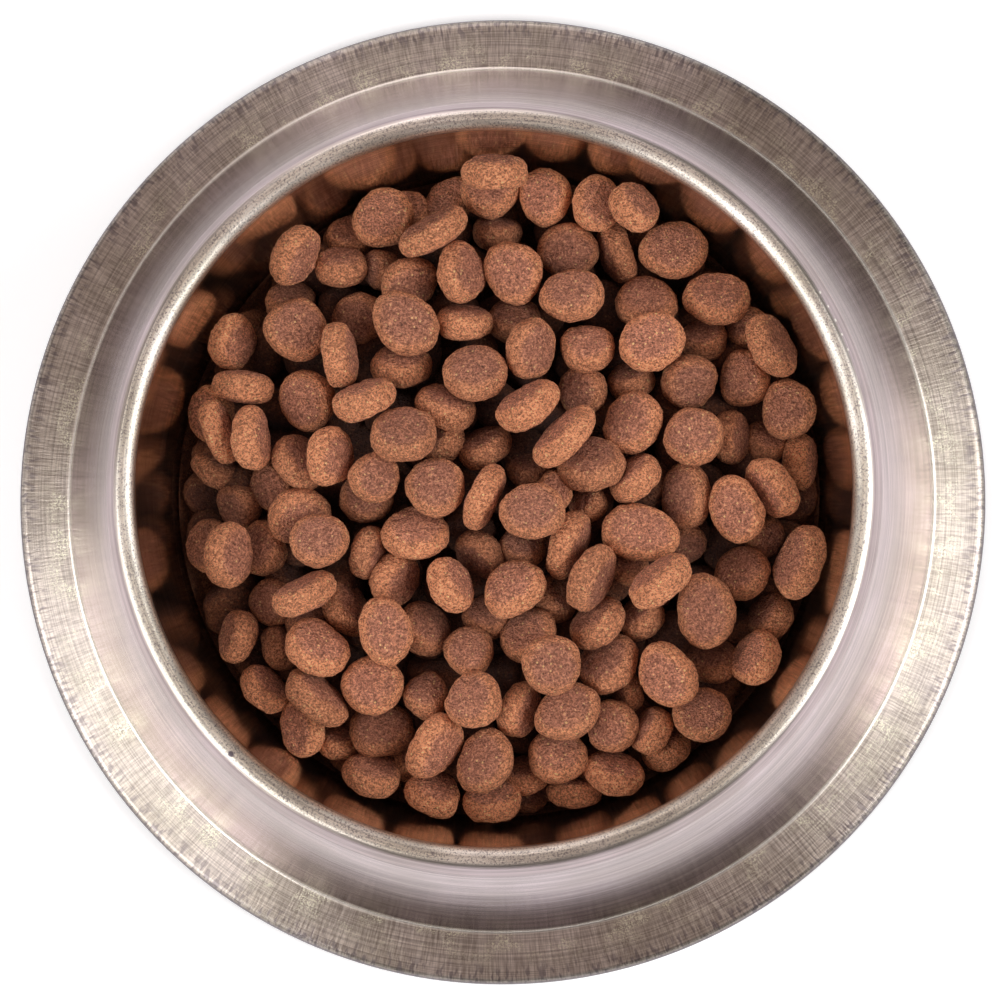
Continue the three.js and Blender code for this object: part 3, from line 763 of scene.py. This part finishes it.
@dataclass(frozen=True)
class RingRubber:
    """Black moulded rubber, dull and faintly mottled."""

    base: Colour = colour(0.022, 0.022, 0.023)
    worn: Colour = colour(0.05, 0.05, 0.05)
    mottle: Mottle = Mottle(3.0, 4.0, 0.6)
    grain: Mottle = Mottle(0.4, 3.0, 0.6)
    worn_rise: Span = (0.45, 0.75)
    roughness: float = 0.62
    mottle_roughness: float = 0.3
    relief_depth: float = 0.05

    def material(self) -> bpy.types.Material:
        """Mix the finish.

        Returns:
            The material.
        """
        graph = Graph.named("ring_rubber")
        at = graph.place()
        mottle = graph.noise(at, *self.mottle)
        base = graph.blend(mottle.rise(*self.worn_rise), self.base, self.worn)
        roughness = self.roughness + mottle * self.mottle_roughness
        values = {"Base Color": base, "Roughness": roughness}
        return graph.finish(graph.noise(at, *self.grain), self.relief_depth, values)


@dataclass(frozen=True)
class BakedFood:
    """Baked food: a fine crumb with pale flecks and dark pits of painted shade, the sides browner
    than the faces.
    """

    name: str
    # The sides' lighter, more orange colour is partly the kibbles' own two-tone bake and partly
    # painted light on their rims.
    face: Colour = colour(0.55, 0.230, 0.138)
    side: Colour = colour(0.80, 0.340, 0.165)
    dark: Colour = colour(0.10, 0.034, 0.018)
    pale: Colour = colour(1.0, 0.66, 0.30)
    tones: tuple[Colour, Colour] = (colour(0.78, 0.76, 0.76), colour(1.12, 1.10, 1.1))
    # Painted shade: kibbles low in the heap are darkened, and those near its top or near the wall
    # are lightened.
    painted_shade_deep_to_top: tuple[Colour, Colour] = (colour(0.36, 0.31, 0.28), colour(1.2, 1.2, 1.2))
    top_height: float = 33.0
    rim_drop: float = 12.0
    rim_radius: float = 80.3
    lit_heights: Span = (-5.0, 11.0)
    lit_spread: Span = (0.6, 0.9)
    blotch: Mottle = Mottle(3.6, 2.0, 0.6)
    crumb: Mottle = Mottle(1.2, 3.0, 0.7)
    grit: Mottle = Mottle(0.50, 2.0, 0.75)
    fleck_pitch: float = 1.7
    blotch_weight: float = 1.2
    warm_offset: float = 0.7
    # Painted shade and light: these tints and the dark and pale marks follow the relief's noise,
    # darker in its pits and paler on its bumps.
    crumb_shade: Shade = Shade((0.38, 0.62), colour(0.76, 0.72, 0.70), colour(1.12, 1.12, 1.12))
    grit_shade: Shade = Shade((0.34, 0.66), colour(0.52, 0.47, 0.43), colour(1.38, 1.42, 1.46))
    grit_share: float = 0.6
    dark_rise: Span = (0.39, 0.33)
    pit_shade_share: float = 0.8
    pale_rise: Span = (0.59, 0.66)
    bump_light_share: float = 0.6
    fleck_rise: Span = (0.18, 0.11)
    fleck_blotch_rise: Span = (0.38, 0.46)
    fleck_share: float = 0.9
    roughness: float = 0.58
    crumb_roughness: float = 0.3
    crumb_relief: float = 1.2
    grit_relief: float = 0.8
    relief_depth: float = 1.8

    def material(self) -> bpy.types.Material:
        """Mix the finish.

        Returns:
            The material.
        """
        graph = Graph.named(self.name)
        at = graph.place()
        x, y, z = graph.parts(at)
        spread = (x * x + y * y) / self.rim_radius**2
        above = z + spread * self.rim_drop - self.top_height
        blotch, crumb, grit = (graph.noise(at, *m) for m in (self.blotch, self.crumb, self.grit))
        flecks = graph.cells(at, self.fleck_pitch)
        # Sides lighter than faces: partly the kibbles' own colour, partly painted light on their
        # rims.
        warm = graph.carried("flat") + blotch * self.blotch_weight - self.warm_offset
        base = graph.blend(warm.rise(0.0, 1.0), self.side, self.face)
        # Partly the crumb's own mottling, partly painted shade in the pits of the relief and
        # painted light on its bumps.
        base = self.crumb_shade.over(graph, base, crumb)
        base = self.grit_shade.over(graph, base, grit)
        grain = grit * self.grit_share + crumb * (1 - self.grit_share)
        fleck = flecks.rise(*self.fleck_rise) * blotch.rise(*self.fleck_blotch_rise)
        for mark, tint in (
            (grain.rise(*self.dark_rise) * self.pit_shade_share, self.dark),
            (grain.rise(*self.pale_rise) * self.bump_light_share, self.pale),
            (fleck * self.fleck_share, self.pale),
        ):
            base = graph.blend(mark, base, tint)
        # Painted shade: darker the lower a kibble lies in the heap, lighter near its top and near
        # the wall.
        lit = above.rise(*self.lit_heights) + spread.rise(*self.lit_spread)
        base = graph.times(base, graph.blend(graph.carried("tone"), *self.tones))
        base = graph.times(base, graph.blend(lit, *self.painted_shade_deep_to_top))
        relief = crumb * self.crumb_relief + grit * self.grit_relief
        roughness = self.roughness + crumb * self.crumb_roughness
        values = {"Base Color": base, "Roughness": roughness}
        return graph.finish(relief, self.relief_depth, values)


@dataclass(frozen=True)
class PaleFloor:
    """A plain white sheet."""

    base: Colour = colour(0.92, 0.95, 0.96)
    glow: float = 0.34
    roughness: float = 0.9

    def material(self) -> bpy.types.Material:
        """Mix the finish.

        Returns:
            The material.
        """
        graph = Graph.named("pale_floor")
        values = {
            "Base Color": self.base,
            "Roughness": self.roughness,
            "Emission Color": self.base,
            "Emission Strength": self.glow,
        }
        return graph.finish(None, 0.0, values)


@dataclass
class SteelBowl:
    """The bowl: one sheet, spun into a bowl, a rolled lip, a sloping skirt and a base flange."""

    sheet: float = 0.8
    rim_radius: float = 80.3
    rim_height: float = 56.0
    wall_taper: float = 8.0
    lip_radius: float = 2.6
    floor_height: float = 5.0
    floor_corner_radius: float = 16.0
    skirt_slope: float = 19.5
    crease_radius: float = 1.2
    base_radius: float = 114.5
    flange_fall: float = 12.0
    edge_radius: float = 2.4
    edge_height: float = 5.2
    edge_end_height: float = 1.2
    packed_sides: int = 48
    sides: int = 256
    end_length: float = 0.5
    longest_end: float = 0.2
    finish: SpunSteel = field(default_factory=SpunSteel)

    def __post_init__(self) -> None:
        """Work out the centres of the bends, which both faces of the sheet share."""
        self.wall_normal = unit(180 - self.wall_taper)
        self.skirt_normal = unit(self.skirt_slope)
        self.flange_normal = unit(90 - self.flange_fall)
        lip_out = self.rim_radius - self.lip_radius * self.wall_normal[0]
        self.lip_centre = np.array([lip_out, self.rim_height - self.lip_radius])
        edge_out = self.base_radius - self.edge_radius
        self.edge_centre = np.array([edge_out, self.edge_height - self.edge_radius])
        self.wall_top = self.lip_centre + self.lip_radius * self.wall_normal
        self.corner_centre = centre_between(
            (self.wall_normal, self.wall_top),
            (np.array([0.0, 1.0]), np.array([0.0, self.floor_height])),
            self.floor_corner_radius,
        )
        self.crease_centre = centre_between(
            (self.skirt_normal, self.lip_centre + self.lip_radius * self.skirt_normal),
            (self.flange_normal, self.edge_centre + self.edge_radius * self.flange_normal),
            self.crease_radius,
        )

    def face(self, depth: float) -> list[np.ndarray]:
        """One face of the sheet, from the axis out to the turned-down edge.

        Args:
            depth: How deep it lies below the face that shows.

        Returns:
            Its points, in millimetres out and up.
        """
        taper, slope, fall = self.wall_taper, self.skirt_slope, self.flange_fall
        corner = arc(self.corner_centre, self.floor_corner_radius + depth, -90, -taper)
        lip = arc(self.lip_centre, self.lip_radius - depth, 180 - taper, slope)
        crease = arc(self.crease_centre, self.crease_radius + depth, 180 + slope, 270 - fall)
        edge = arc(self.edge_centre, self.edge_radius - depth, 90 - fall, 0)
        start = [np.array([0.0, self.floor_height - depth])]
        end = [np.array([self.base_radius - depth, self.edge_end_height])]
        path: list[np.ndarray] = []
        for run in (start, corner, lip, crease, edge, end):
            if path:
                path += self.between(path[-1], run[0])
            path += run
        return path

    def between(self, start: np.ndarray, end: np.ndarray) -> list[np.ndarray]:
        """Points along a straight run, close to its ends so that it stays flat there.

        Args:
            start: Where the run starts.
            end: Where it ends.

        Returns:
            The points between, or none where the run is short.
        """
        near = self.end_length / float(np.linalg.norm(end - start))
        if near > self.longest_end:
            return []
        return [start + (end - start) * share for share in (near, 0.25, 0.5, 0.75, 1 - near)]

    def wall_radius(self, height: np.ndarray) -> np.ndarray:
        """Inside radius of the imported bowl's flat-sided wall.

        Args:
            height: The height, or an array of them.

        Returns:
            The radius at each height.
        """
        taper = math.tan(math.radians(self.wall_taper))
        round_radius = self.rim_radius - (self.wall_top[1] - height) * taper
        return round_radius * math.cos(math.pi / self.packed_sides)

    def flange_underside(self, radius: float) -> float:
        """Height of the underside of the flange at a radius."""
        on_line = self.edge_centre + (self.edge_radius - self.sheet) * self.flange_normal
        return on_line[1] - (radius - on_line[0]) * math.tan(math.radians(self.flange_fall))

    def build(self) -> bpy.types.Object:
        """Build the bowl and dress it.

        Returns:
            The bowl.
        """
        section = self.face(self.sheet) + self.face(0.0)[::-1]
        bowl = Bench.turned("bowl_sheet", section, self.sides)
        low, high = (np.array(corner) for corner in packed_box)
        move_corners(bowl, np.clip(corners(bowl), low, high))
        bowl.data.materials.append(self.finish.material())
        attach(bowl, "root")
        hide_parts("steel_bowl")
        return bowl


@dataclass
class BaseRing:
    """The rubber ring that the bowl stands on, seated behind the turned-down edge."""

    bowl: SteelBowl
    width: float = 8.0
    chamfer: float = 1.6
    clearance: float = 0.3
    softening: float = 0.35
    softening_steps: int = 3
    softened_angle: float = 0.5
    sides: int = 192
    finish: RingRubber = field(default_factory=RingRubber)

    def build(self) -> bpy.types.Object:
        """Build the ring and dress it.

        Returns:
            The ring.
        """
        outer = self.bowl.base_radius - self.bowl.sheet - self.clearance
        inner, shoulder = outer - self.width, outer - self.chamfer
        top_in = self.bowl.flange_underside(inner) - self.clearance
        top_out = self.bowl.flange_underside(shoulder) - self.clearance
        section = [
            (inner, 0),
            (outer, 0),
            (outer, top_out - self.chamfer),
            (shoulder, top_out),
            (inner, top_in),
        ]
        ring = Bench.turned("rubber_ring", section, self.sides)
        Bench.apply(
            ring,
            "BEVEL",
            width=self.softening * MM,
            segments=self.softening_steps,
            limit_method="ANGLE",
            angle_limit=self.softened_angle,
        )
        ring.data.materials.append(self.finish.material())
        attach(ring, "root")
        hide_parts("base_ring")
        return ring


@dataclass
class Kibble:
    """A kibble of the lists, with what it needs to find its place. Millimetres."""

    row: KibbleRow
    layer: Layer
    swell: float = 1.04
    roundness: float = 3.2

    def __post_init__(self) -> None:
        """Work out its turn, and its corners about its middle."""
        turn = Matrix.Rotation(math.radians(self.row.faces + 90), 3, "Z")
        self.turn = turn @ Matrix.Rotation(math.radians(self.row.lean), 3, "X")
        rule = self.layer.value
        size = (self.row.width, self.row.depth, self.row.thickness)
        radii = np.array(size) * self.swell / 2
        points = [(0, 0, -radii[2]), (0, 0, radii[2])]
        power = 2 / self.roundness
        for ring in range(rule.rings):
            angle = math.pi * ((ring + 1) / (rule.rings + 1) - 0.5)
            out, up = math.cos(angle) ** power, abs(math.sin(angle)) ** power
            for side in range(rule.sides):
                spoke = unit(360 * side / rule.sides)
                height = math.copysign(up, angle) * radii[2]
                points.append((*(radii[:2] * out * spoke), height))
        self.corners = np.array(points) @ np.array(self.turn).T
        self.height = 2 * self.corners[:, 2].max()


@dataclass
class HeapSettling:
    """Finds where the kibbles come to lie: drawn to their places and pushed off each other."""

    bowl: SteelBowl
    core_top_height: float = 33.0
    core_rim_drop: float = 12.0
    eye: tuple[float, float, float] = (30.6, -46.0, 848.0)
    list_level: float = 45.0
    loose_gap: float = 0.35
    wall_gap: float = 0.5
    fused_gap: float = -0.6
    drawn_steps: int = 120
    free_steps: int = 60
    first_pull: float = 0.25
    push_share: float = 0.3
    upright_ease: float = 2.5
    probe_count: int = 1200
    neighbourhood: float = 22.0

    def core_height(self, radius: np.ndarray) -> np.ndarray:
        """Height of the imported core's top at a radius."""
        return self.core_top_height - self.core_rim_drop * (radius / self.bowl.rim_radius) ** 2

    def along_sight(self, x: np.ndarray, y: np.ndarray, height: np.ndarray) -> np.ndarray:
        """The points at these heights on the lines of sight through places of the lists.

        Args:
            x: The places' x.
            y: The places' y.
            height: The heights.

        Returns:
            One row for each place.
        """
        share = (height - self.list_level) / (self.eye[2] - self.list_level)
        across = x + (self.eye[0] - x) * share
        return np.stack([across, y + (self.eye[1] - y) * share, height], axis=1)

    def settle(self, kibbles: list[Kibble]) -> np.ndarray:
        """Settle the heap.

        Args:
            kibbles: All its kibbles.

        Returns:
            The place of each one's middle, in millimetres.
        """
        index = np.arange(self.probe_count)
        up = 1 - (2 * index + 1) / self.probe_count
        out, turn = np.sqrt(1 - up * up), index * math.pi * (3 - math.sqrt(5))
        probes = np.stack([out * np.cos(turn), out * np.sin(turn), up], axis=1)
        ease_squared = out**2 + (up * self.upright_ease) ** 2
        shifts = probes * [1, 1, self.upright_ease**2] / ease_squared[:, None]
        ease = np.sqrt(ease_squared)

        most = max(len(kibble.corners) for kibble in kibbles)
        points = np.stack([np.resize(kibble.corners, (most, 3)) for kibble in kibbles])
        reaches = (points @ probes.T).max(axis=1)
        height = np.array([kibble.height for kibble in kibbles])
        rules = [kibble.layer.value for kibble in kibbles]
        start, level, lowest, highest = (
            np.array([getattr(rule, name) for rule in rules])
            for name in ("start", "level", "lowest", "highest")
        )
        loose = np.array([kibble.layer is Layer.LOOSE for kibble in kibbles])
        seen_x = np.array([kibble.row.x for kibble in kibbles], float)
        seen_y = np.array([kibble.row.y for kibble in kibbles], float)

        def on_core(places: np.ndarray, share: np.ndarray) -> np.ndarray:
            """Heights that lie a share of each kibble's height above the core."""
            return self.core_height(np.hypot(places[:, 0], places[:, 1])) + share * height

        at = self.along_sight(seen_x, seen_y, self.core_height(np.hypot(seen_x, seen_y)))
        at[:, 2] = on_core(at, start)
        near = np.linalg.norm(at[:, None] - at[None], axis=2) < self.neighbourhood
        first, second = np.nonzero(np.triu(near, 1))
        either_loose = loose[first] | loose[second]
        gap = np.where(either_loose, self.loose_gap, self.fused_gap)
        reach_sum = reaches[first] + reaches[second] + gap[:, None]
        slope = math.tan(math.radians(self.bowl.wall_taper))
        for step in range(self.drawn_steps + self.free_steps):
            pull = self.first_pull * max(0.0, 1 - step / self.drawn_steps)
            target = self.along_sight(seen_x, seen_y, at[:, 2])
            target[:, 2] = on_core(at, level)
            push = (target - at) * pull
            overlap = reach_sum - (at[second] - at[first]) @ probes.T
            easiest = (overlap / ease).argmin(axis=1)
            over = overlap[np.arange(len(first)), easiest]
            moves = shifts[easiest] * (self.push_share * np.maximum(over, 0))[:, None]
            np.add.at(push, first, -moves)
            np.add.at(push, second, moves)
            at = at + push
            radius = np.hypot(at[:, 0], at[:, 1])
            outward = np.stack([at[:, 0] / radius, at[:, 1] / radius], axis=1)
            wall = np.concatenate([outward, np.full((len(at), 1), -slope)], axis=1)
            reach = (points @ wall[:, :, None])[:, :, 0].max(axis=1)
            too_far = radius + reach + self.wall_gap - self.bowl.wall_radius(at[:, 2])
            at[:, :2] -= outward * np.maximum(too_far, 0)[:, None]
            at[:, 2] = np.minimum(at[:, 2], on_core(at, highest))
            rests = np.hypot(at[:, None, 0] + points[:, :, 0], at[:, None, 1] + points[:, :, 1])
            clear = self.loose_gap + (self.core_height(rests) - points[:, :, 2]).max(axis=1)
            at[:, 2] = np.maximum(at[:, 2], np.where(loose, clear, on_core(at, lowest)))
        return at


@dataclass(frozen=True)
class Wave:
    """A layer of unevenness: the size of its lumps and how high they stand, in millimetres."""

    size: float
    height: float

    def press(self, piece: bpy.types.Object) -> None:
        """Press it into a piece.

        Args:
            piece: The piece, in object mode.
        """
        name = f"clouds_{self.size}"
        texture = bpy.data.textures.get(name) or bpy.data.textures.new(name, "CLOUDS")
        texture.noise_scale = self.size * MM
        strength = self.height * MM
        Bench.apply(piece, "DISPLACE", texture=texture, texture_coords="LOCAL", strength=strength)


@dataclass
class KibbleDie:
    """The die that stamps the kibbles: a rounded disc that is made once, then sized and placed."""

    sides: int = 8
    shoulder: float = 0.40
    levels: int = 3
    unevenness: float = 0.07
    seed: int = 7
    cap_from: float = 0.9
    flat_heights: Span = (0.55, 0.95)
    flat_out: float = 1.02
    flat_blur: float = 0.3
    waves: tuple[Wave, ...] = (Wave(7.0, 1.1), Wave(2.4, 0.55), Wave(0.9, 0.28))

    def __post_init__(self) -> None:
        """Make the disc that all kibbles are copied from."""
        self.chance = np.random.default_rng(self.seed)
        Bench.clear()
        depth = 2 * (1 - self.shoulder)
        bpy.ops.mesh.primitive_cylinder_add(
            vertices=self.sides, radius=1, depth=depth, end_fill_type="NGON"
        )
        blank = Bench.added("kibble_blank")
        Bench.select_faces(blank, lambda face: abs(face.normal.z) > self.cap_from)
        bpy.ops.mesh.inset(
            thickness=self.shoulder,
            depth=self.shoulder,
            use_individual=True,
            use_relative_offset=False,
        )
        bpy.ops.object.mode_set(mode="OBJECT")
        Bench.apply(blank, "SUBSURF", levels=self.levels, render_levels=self.levels)
        points = corners(blank)
        points /= np.abs(points).max(axis=0)
        move_corners(blank, points)
        low, high = self.flat_heights
        inside = self.flat_out - np.hypot(points[:, 0], points[:, 1])
        flat = np.clip((np.abs(points[:, 2]) - low) / (high - low), 0, 1)
        self.carry(blank.data, "flat", flat * np.clip(inside / self.flat_blur, 0, 1))
        Bench.only(blank)
        bpy.ops.object.shade_smooth()
        self.mesh = blank.data
        bpy.data.objects.remove(blank)

    @staticmethod
    def carry(mesh: bpy.types.Mesh, name: str, values: np.ndarray) -> None:
        """Give the mesh a number at each point."""
        attribute = mesh.attributes.get(name) or mesh.attributes.new(name, "FLOAT", "POINT")
        attribute.data.foreach_set("value", values.astype(np.float32))

    def stamp(self, name: str, kibble: Kibble, middle: Vector) -> bpy.types.Object:
        """Copy the disc, give it a kibble's size and an uneven shape, and put it in place.

        Args:
            name: The name of the new object.
            kibble: The kibble that it stands for.
            middle: Its middle, in metres.

        Returns:
            The object, at the origin, with its place in its mesh.
        """
        mesh = self.mesh.copy()
        mesh.name = name
        piece = bpy.data.objects.new(name, mesh)
        bpy.context.scene.collection.objects.link(piece)
        egg, square, wedge, dish = self.chance.normal(0, self.unevenness, 4)
        points = corners(piece)
        x, y, z = points.T.copy()
        points[:, 0] = x * (1 + egg * y + square * y * y)
        points[:, 1] = y * (1 + square * x)
        points[:, 2] = z * (1 + wedge * x + dish * y)
        points /= np.abs(points).max(axis=0)
        move_corners(piece, points)
        row = kibble.row
        size = Matrix.Diagonal(Vector((row.width, row.depth, row.thickness, 2 / MM)) * MM / 2)
        mesh.transform(Matrix.Translation(middle) @ kibble.turn.to_4x4() @ size)
        self.carry(mesh, "tone", np.full(len(points), self.chance.uniform(0, 1)))
        return piece

    def roughen(self, piece: bpy.types.Object) -> None:
        """Press all the waves into a piece."""
        for wave in self.waves:
            wave.press(piece)


@dataclass
class DeepKibbles:
    """The kibbles that fill the gaps below the sunk ones. Millimetres and degrees."""

    pitch: float = 12.0
    stagger: float = 0.5
    row_pitch: float = 0.87
    level: float = -5.5
    aside: float = 2.5
    upright: float = 1.5
    widths: Span = (12.0, 15.5)
    depths: Span = (11.0, 12.8)
    thickness: float = 7.5
    leans: Span = (5.0, 75.0)
    wall_gap: float = 1.2
    furthest_moved: float = 9.0
    seed: int = 11

    def build(self, settling: HeapSettling, die: KibbleDie) -> bpy.types.Object:
        """Fill the heap's lower part.

        Args:
            settling: Knows the core and the wall.
            die: Stamps the kibbles.

        Returns:
            All of them as one piece.
        """
        bowl = settling.bowl
        chance = np.random.default_rng(self.seed)
        made = []
        reach = int(bowl.rim_radius / self.pitch) + 1
        for i in range(-reach, reach + 1):
            for j in range(-reach, reach + 1):
                place = np.array([i + self.stagger * (j % 2), j * self.row_pitch]) * self.pitch
                place += chance.uniform(-self.aside, self.aside, 2)
                radius = float(np.hypot(*place))
                height = settling.core_height(radius) + self.level
                height += chance.uniform(-self.upright, self.upright)
                width, depth = chance.uniform(*self.widths), chance.uniform(*self.depths)
                faces, lean = chance.uniform(0, 360), chance.uniform(*self.leans)
                row = KibbleRow(*place, width, depth, self.thickness, faces, lean)
                kibble = Kibble(row, Layer.SUNK)
                points = kibble.corners + [*place, height]
                past_wall = np.hypot(points[:, 0], points[:, 1]) - bowl.wall_radius(points[:, 2])
                too_far = max(0.0, float(past_wall.max()) + self.wall_gap)
                if too_far > self.furthest_moved:
                    continue
                place *= 1 - too_far / radius
                middle = Vector((*place, height)) * MM
                made.append(die.stamp(f"deep_{len(made) + 1:03d}", kibble, middle))
        return Bench.joined("deep_kibbles", made)


@dataclass
class FoodHeap:
    """The heap: a packed core, the kibbles part sunk in it, and the loose kibbles on top."""

    settling: HeapSettling
    die: KibbleDie = field(default_factory=KibbleDie)
    small_die: KibbleDie = field(default_factory=lambda: KibbleDie(levels=1))
    deep_layer: DeepKibbles = field(default_factory=DeepKibbles)
    food_clearance: float = 0.4
    core_drop: float = 10.0
    core_rings: int = 40
    core_sides: int = 128
    edge_rounds: int = 4
    top_food: BakedFood = field(default_factory=lambda: BakedFood("baked_food"))
    # Painted shade: the core and the deep kibbles take darker copies of the food's colours, so the
    # gaps between kibbles read as shadow.
    shaded_deep_food: BakedFood = field(
        default_factory=lambda: BakedFood(
            "packed_food",
            face=colour(0.19, 0.072, 0.042),
            side=colour(0.30, 0.112, 0.048),
            pale=colour(0.50, 0.30, 0.14),
        )
    )

    def dome_height(self, radius: float) -> float:
        """Height of the dressed core's top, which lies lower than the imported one's."""
        return self.settling.core_height(radius) - self.core_drop

    def core(self) -> bpy.types.Object:
        """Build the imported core: the bowl's own inside, closed by a low dome.

        Returns:
            The core.
        """
        bowl = self.settling.bowl
        taper = math.radians(bowl.wall_taper)
        foot = bowl.corner_centre[1] - bowl.floor_corner_radius * math.sin(taper)
        edge = bowl.wall_radius(foot) - self.food_clearance
        for _ in range(self.edge_rounds):
            edge = bowl.wall_radius(self.dome_height(edge)) - self.food_clearance
        inside = bowl.floor_corner_radius - 2 * self.food_clearance
        corner = arc(bowl.corner_centre, inside, -90, -bowl.wall_taper)
        radii = np.linspace(edge, 0, self.core_rings + 1)
        dome = [(radius, self.dome_height(radius)) for radius in radii]
        core = Bench.turned("packed_core", [(0, corner[0][1]), *corner, *dome], self.core_sides)
        for name in ("flat", "tone"):
            KibbleDie.carry(core.data, name, np.zeros(len(core.data.vertices)))
        return core

    def build(self) -> list[bpy.types.Object]:
        """Build the heap and dress it.

        Returns:
            Its pieces.
        """
        kibbles = [
            Kibble(KibbleRow(*row), layer)
            for rows, layer in (
                (SUNK_KIBBLES, Layer.SUNK),
                (MIDDLE_KIBBLES, Layer.MIDDLE),
                (LOOSE_KIBBLES, Layer.LOOSE),
            )
            for row in rows
        ]
        places = self.settling.settle(kibbles)
        stamped: dict[Layer, list[bpy.types.Object]] = {layer: [] for layer in Layer}
        for kibble, place in zip(kibbles, places):
            made = stamped[kibble.layer]
            name = f"{kibble.layer.name.lower()}_{len(made) + 1:02d}"
            middle = Vector(place) * MM
            if kibble.layer is Layer.LOOSE:
                low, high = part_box(f"kibble_{len(made) + 1:02d}")
                middle = (low + high) / 2
            made.append(self.die.stamp(name, kibble, middle))
        core = self.core()
        deep_ones = self.deep_layer.build(self.settling, self.small_die)
        sunk = Bench.joined("sunk_kibbles", stamped[Layer.SUNK])
        middle_ones = Bench.joined("middle_kibbles", stamped[Layer.MIDDLE])
        for piece in (deep_ones, sunk, middle_ones, *stamped[Layer.LOOSE]):
            self.die.roughen(piece)
        # The darker packed food on the core and the deep kibbles is painted shade.
        deep, top = self.shaded_deep_food.material(), self.top_food.material()
        for piece in (core, deep_ones, sunk, middle_ones):
            food = deep if piece in (core, deep_ones) else top
            self.dress(piece, food, "food_heap", "packed_food")
        for number, piece in enumerate(stamped[Layer.LOOSE], 1):
            self.dress(piece, top, f"kibble_{number:02d}", "kibble")
        return [core, deep_ones, sunk, middle_ones, *stamped[Layer.LOOSE]]

    @staticmethod
    def dress(piece: bpy.types.Object, material: bpy.types.Material, node: str, slot: str) -> None:
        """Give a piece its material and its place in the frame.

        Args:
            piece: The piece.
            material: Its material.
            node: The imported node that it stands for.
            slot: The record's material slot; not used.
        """
        piece.data.materials.clear()
        piece.data.materials.append(material)
        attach(piece, "root")
        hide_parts(node)


@dataclass(frozen=True)
class SoftBox:
    """A broad soft light on the bowl. Metres, watts, and degrees from +X and from level."""

    name: str
    bearing: float
    elevation: float
    distance: float
    size: tuple[float, float]
    power: float
    tint: tuple[float, float, float] = (1.0, 1.0, 1.0)

    def build(self) -> bpy.types.Object:
        """Place the light.

        Returns:
            The light, aimed at the bowl.
        """
        lamp = bpy.data.lights.new(self.name, "AREA")
        lamp.shape = "RECTANGLE"
        lamp.size, lamp.size_y = self.size
        lamp.energy = self.power
        lamp.color = self.tint
        out, up = unit(self.elevation) * self.distance
        at = Vector((*(unit(self.bearing) * out), up))
        light = bpy.data.objects.new(self.name, lamp)
        light.location = at
        light.rotation_euler = (-at).to_track_quat("-Z", "Y").to_euler()
        bpy.context.scene.collection.objects.link(light)
        return light


@dataclass
class Studio:
    """The floor, the lights and the camera."""

    floor_size: float = 6.0
    floor_drop: float = 0.1
    horizon: Colour = colour(0.20, 0.165, 0.165)
    zenith: Colour = colour(0.38, 0.285, 0.26)
    dark_side: Colour = colour(0.03, 0.026, 0.028)
    dark_bearings: tuple[float, float] = (285.0, 40.0)
    dark_rise: Span = (0.55, 0.9)
    overhead_rise: Span = (0.45, 0.75)
    eye: tuple[float, float, float] = (0.0306, -0.0460, 0.8482)
    lens: float = 128.6
    sensor_width: float = 36.0
    shift: tuple[float, float] = (-0.001, -0.0005)
    lights: tuple[SoftBox, ...] = (
        SoftBox("soft_box_left", 208, 37, 1.3, (1.0, 0.6), 10.6),
        SoftBox("soft_box_right", 351, 37, 1.3, (0.95, 0.6), 12.0),
        SoftBox("fill_far", 100, 27, 1.5, (1.0, 0.6), 4.0, (1.0, 0.93, 0.95)),
    )

    def sky(self) -> bpy.types.World:
        """The dim room around the table, lighter overhead.

        Returns:
            The world that holds it.
        """
        graph = Graph(bpy.data.worlds.new("studio"))
        east, north, upward = graph.parts(graph.add("ShaderNodeTexCoord", output="Generated"))
        glow = graph.blend(upward.rise(0.0, 1.0), self.horizon, self.zenith)
        low = 1 - upward.rise(*self.overhead_rise)
        for bearing in self.dark_bearings:
            x, y = unit(bearing)
            towards = (east * x + north * y).rise(*self.dark_rise)
            glow = graph.blend(towards * low, glow, self.dark_side)
        background = graph.add("ShaderNodeBackground", inputs={"Color": glow})
        graph.output("ShaderNodeOutputWorld", background)
        return graph.owner

    def build(self) -> list[bpy.types.Object]:
        """Set up the studio.

        Returns:
            The floor, the lights and the camera.
        """
        Bench.clear()
        under = (0, 0, -self.floor_drop * MM)
        bpy.ops.mesh.primitive_plane_add(size=self.floor_size, location=under)
        floor = Bench.added("floor")
        floor.data.materials.append(PaleFloor().material())
        scene = bpy.context.scene
        scene.world = self.sky()
        scene.view_settings.view_transform = "Standard"
        camera = bpy.data.objects.new("camera", bpy.data.cameras.new("camera"))
        camera.data.lens = self.lens
        camera.data.sensor_width = self.sensor_width
        camera.data.shift_x, camera.data.shift_y = self.shift
        camera.location = self.eye
        back = Vector(self.eye).normalized()
        right = Vector((0, 1, 0)).cross(back).normalized()
        turn = Matrix((right, back.cross(right), back)).transposed()
        camera.rotation_euler = turn.to_euler()
        scene.collection.objects.link(camera)
        scene.camera = camera
        return [floor, camera, *(light.build() for light in self.lights)]


def main() -> None:
    """Build the scene, piece by piece."""
    logging.basicConfig(level=logging.INFO, format="%(message)s")
    bowl = SteelBowl()
    builders: Iterable[tuple[str, Callable[[], object]]] = (
        ("steel bowl", bowl.build),
        ("base ring", BaseRing(bowl).build),
        ("food heap", FoodHeap(HeapSettling(bowl)).build),
        ("studio", Studio().build),
    )
    for title, build in builders:
        made = build()
        pieces = made if isinstance(made, list) else [made]
        for piece in pieces:
            faces = len(piece.data.polygons) if piece.type == "MESH" else 0
            LOG.info("%s: %s, %d faces", title, piece.name, faces)


if __name__ == "__main__":
    main()
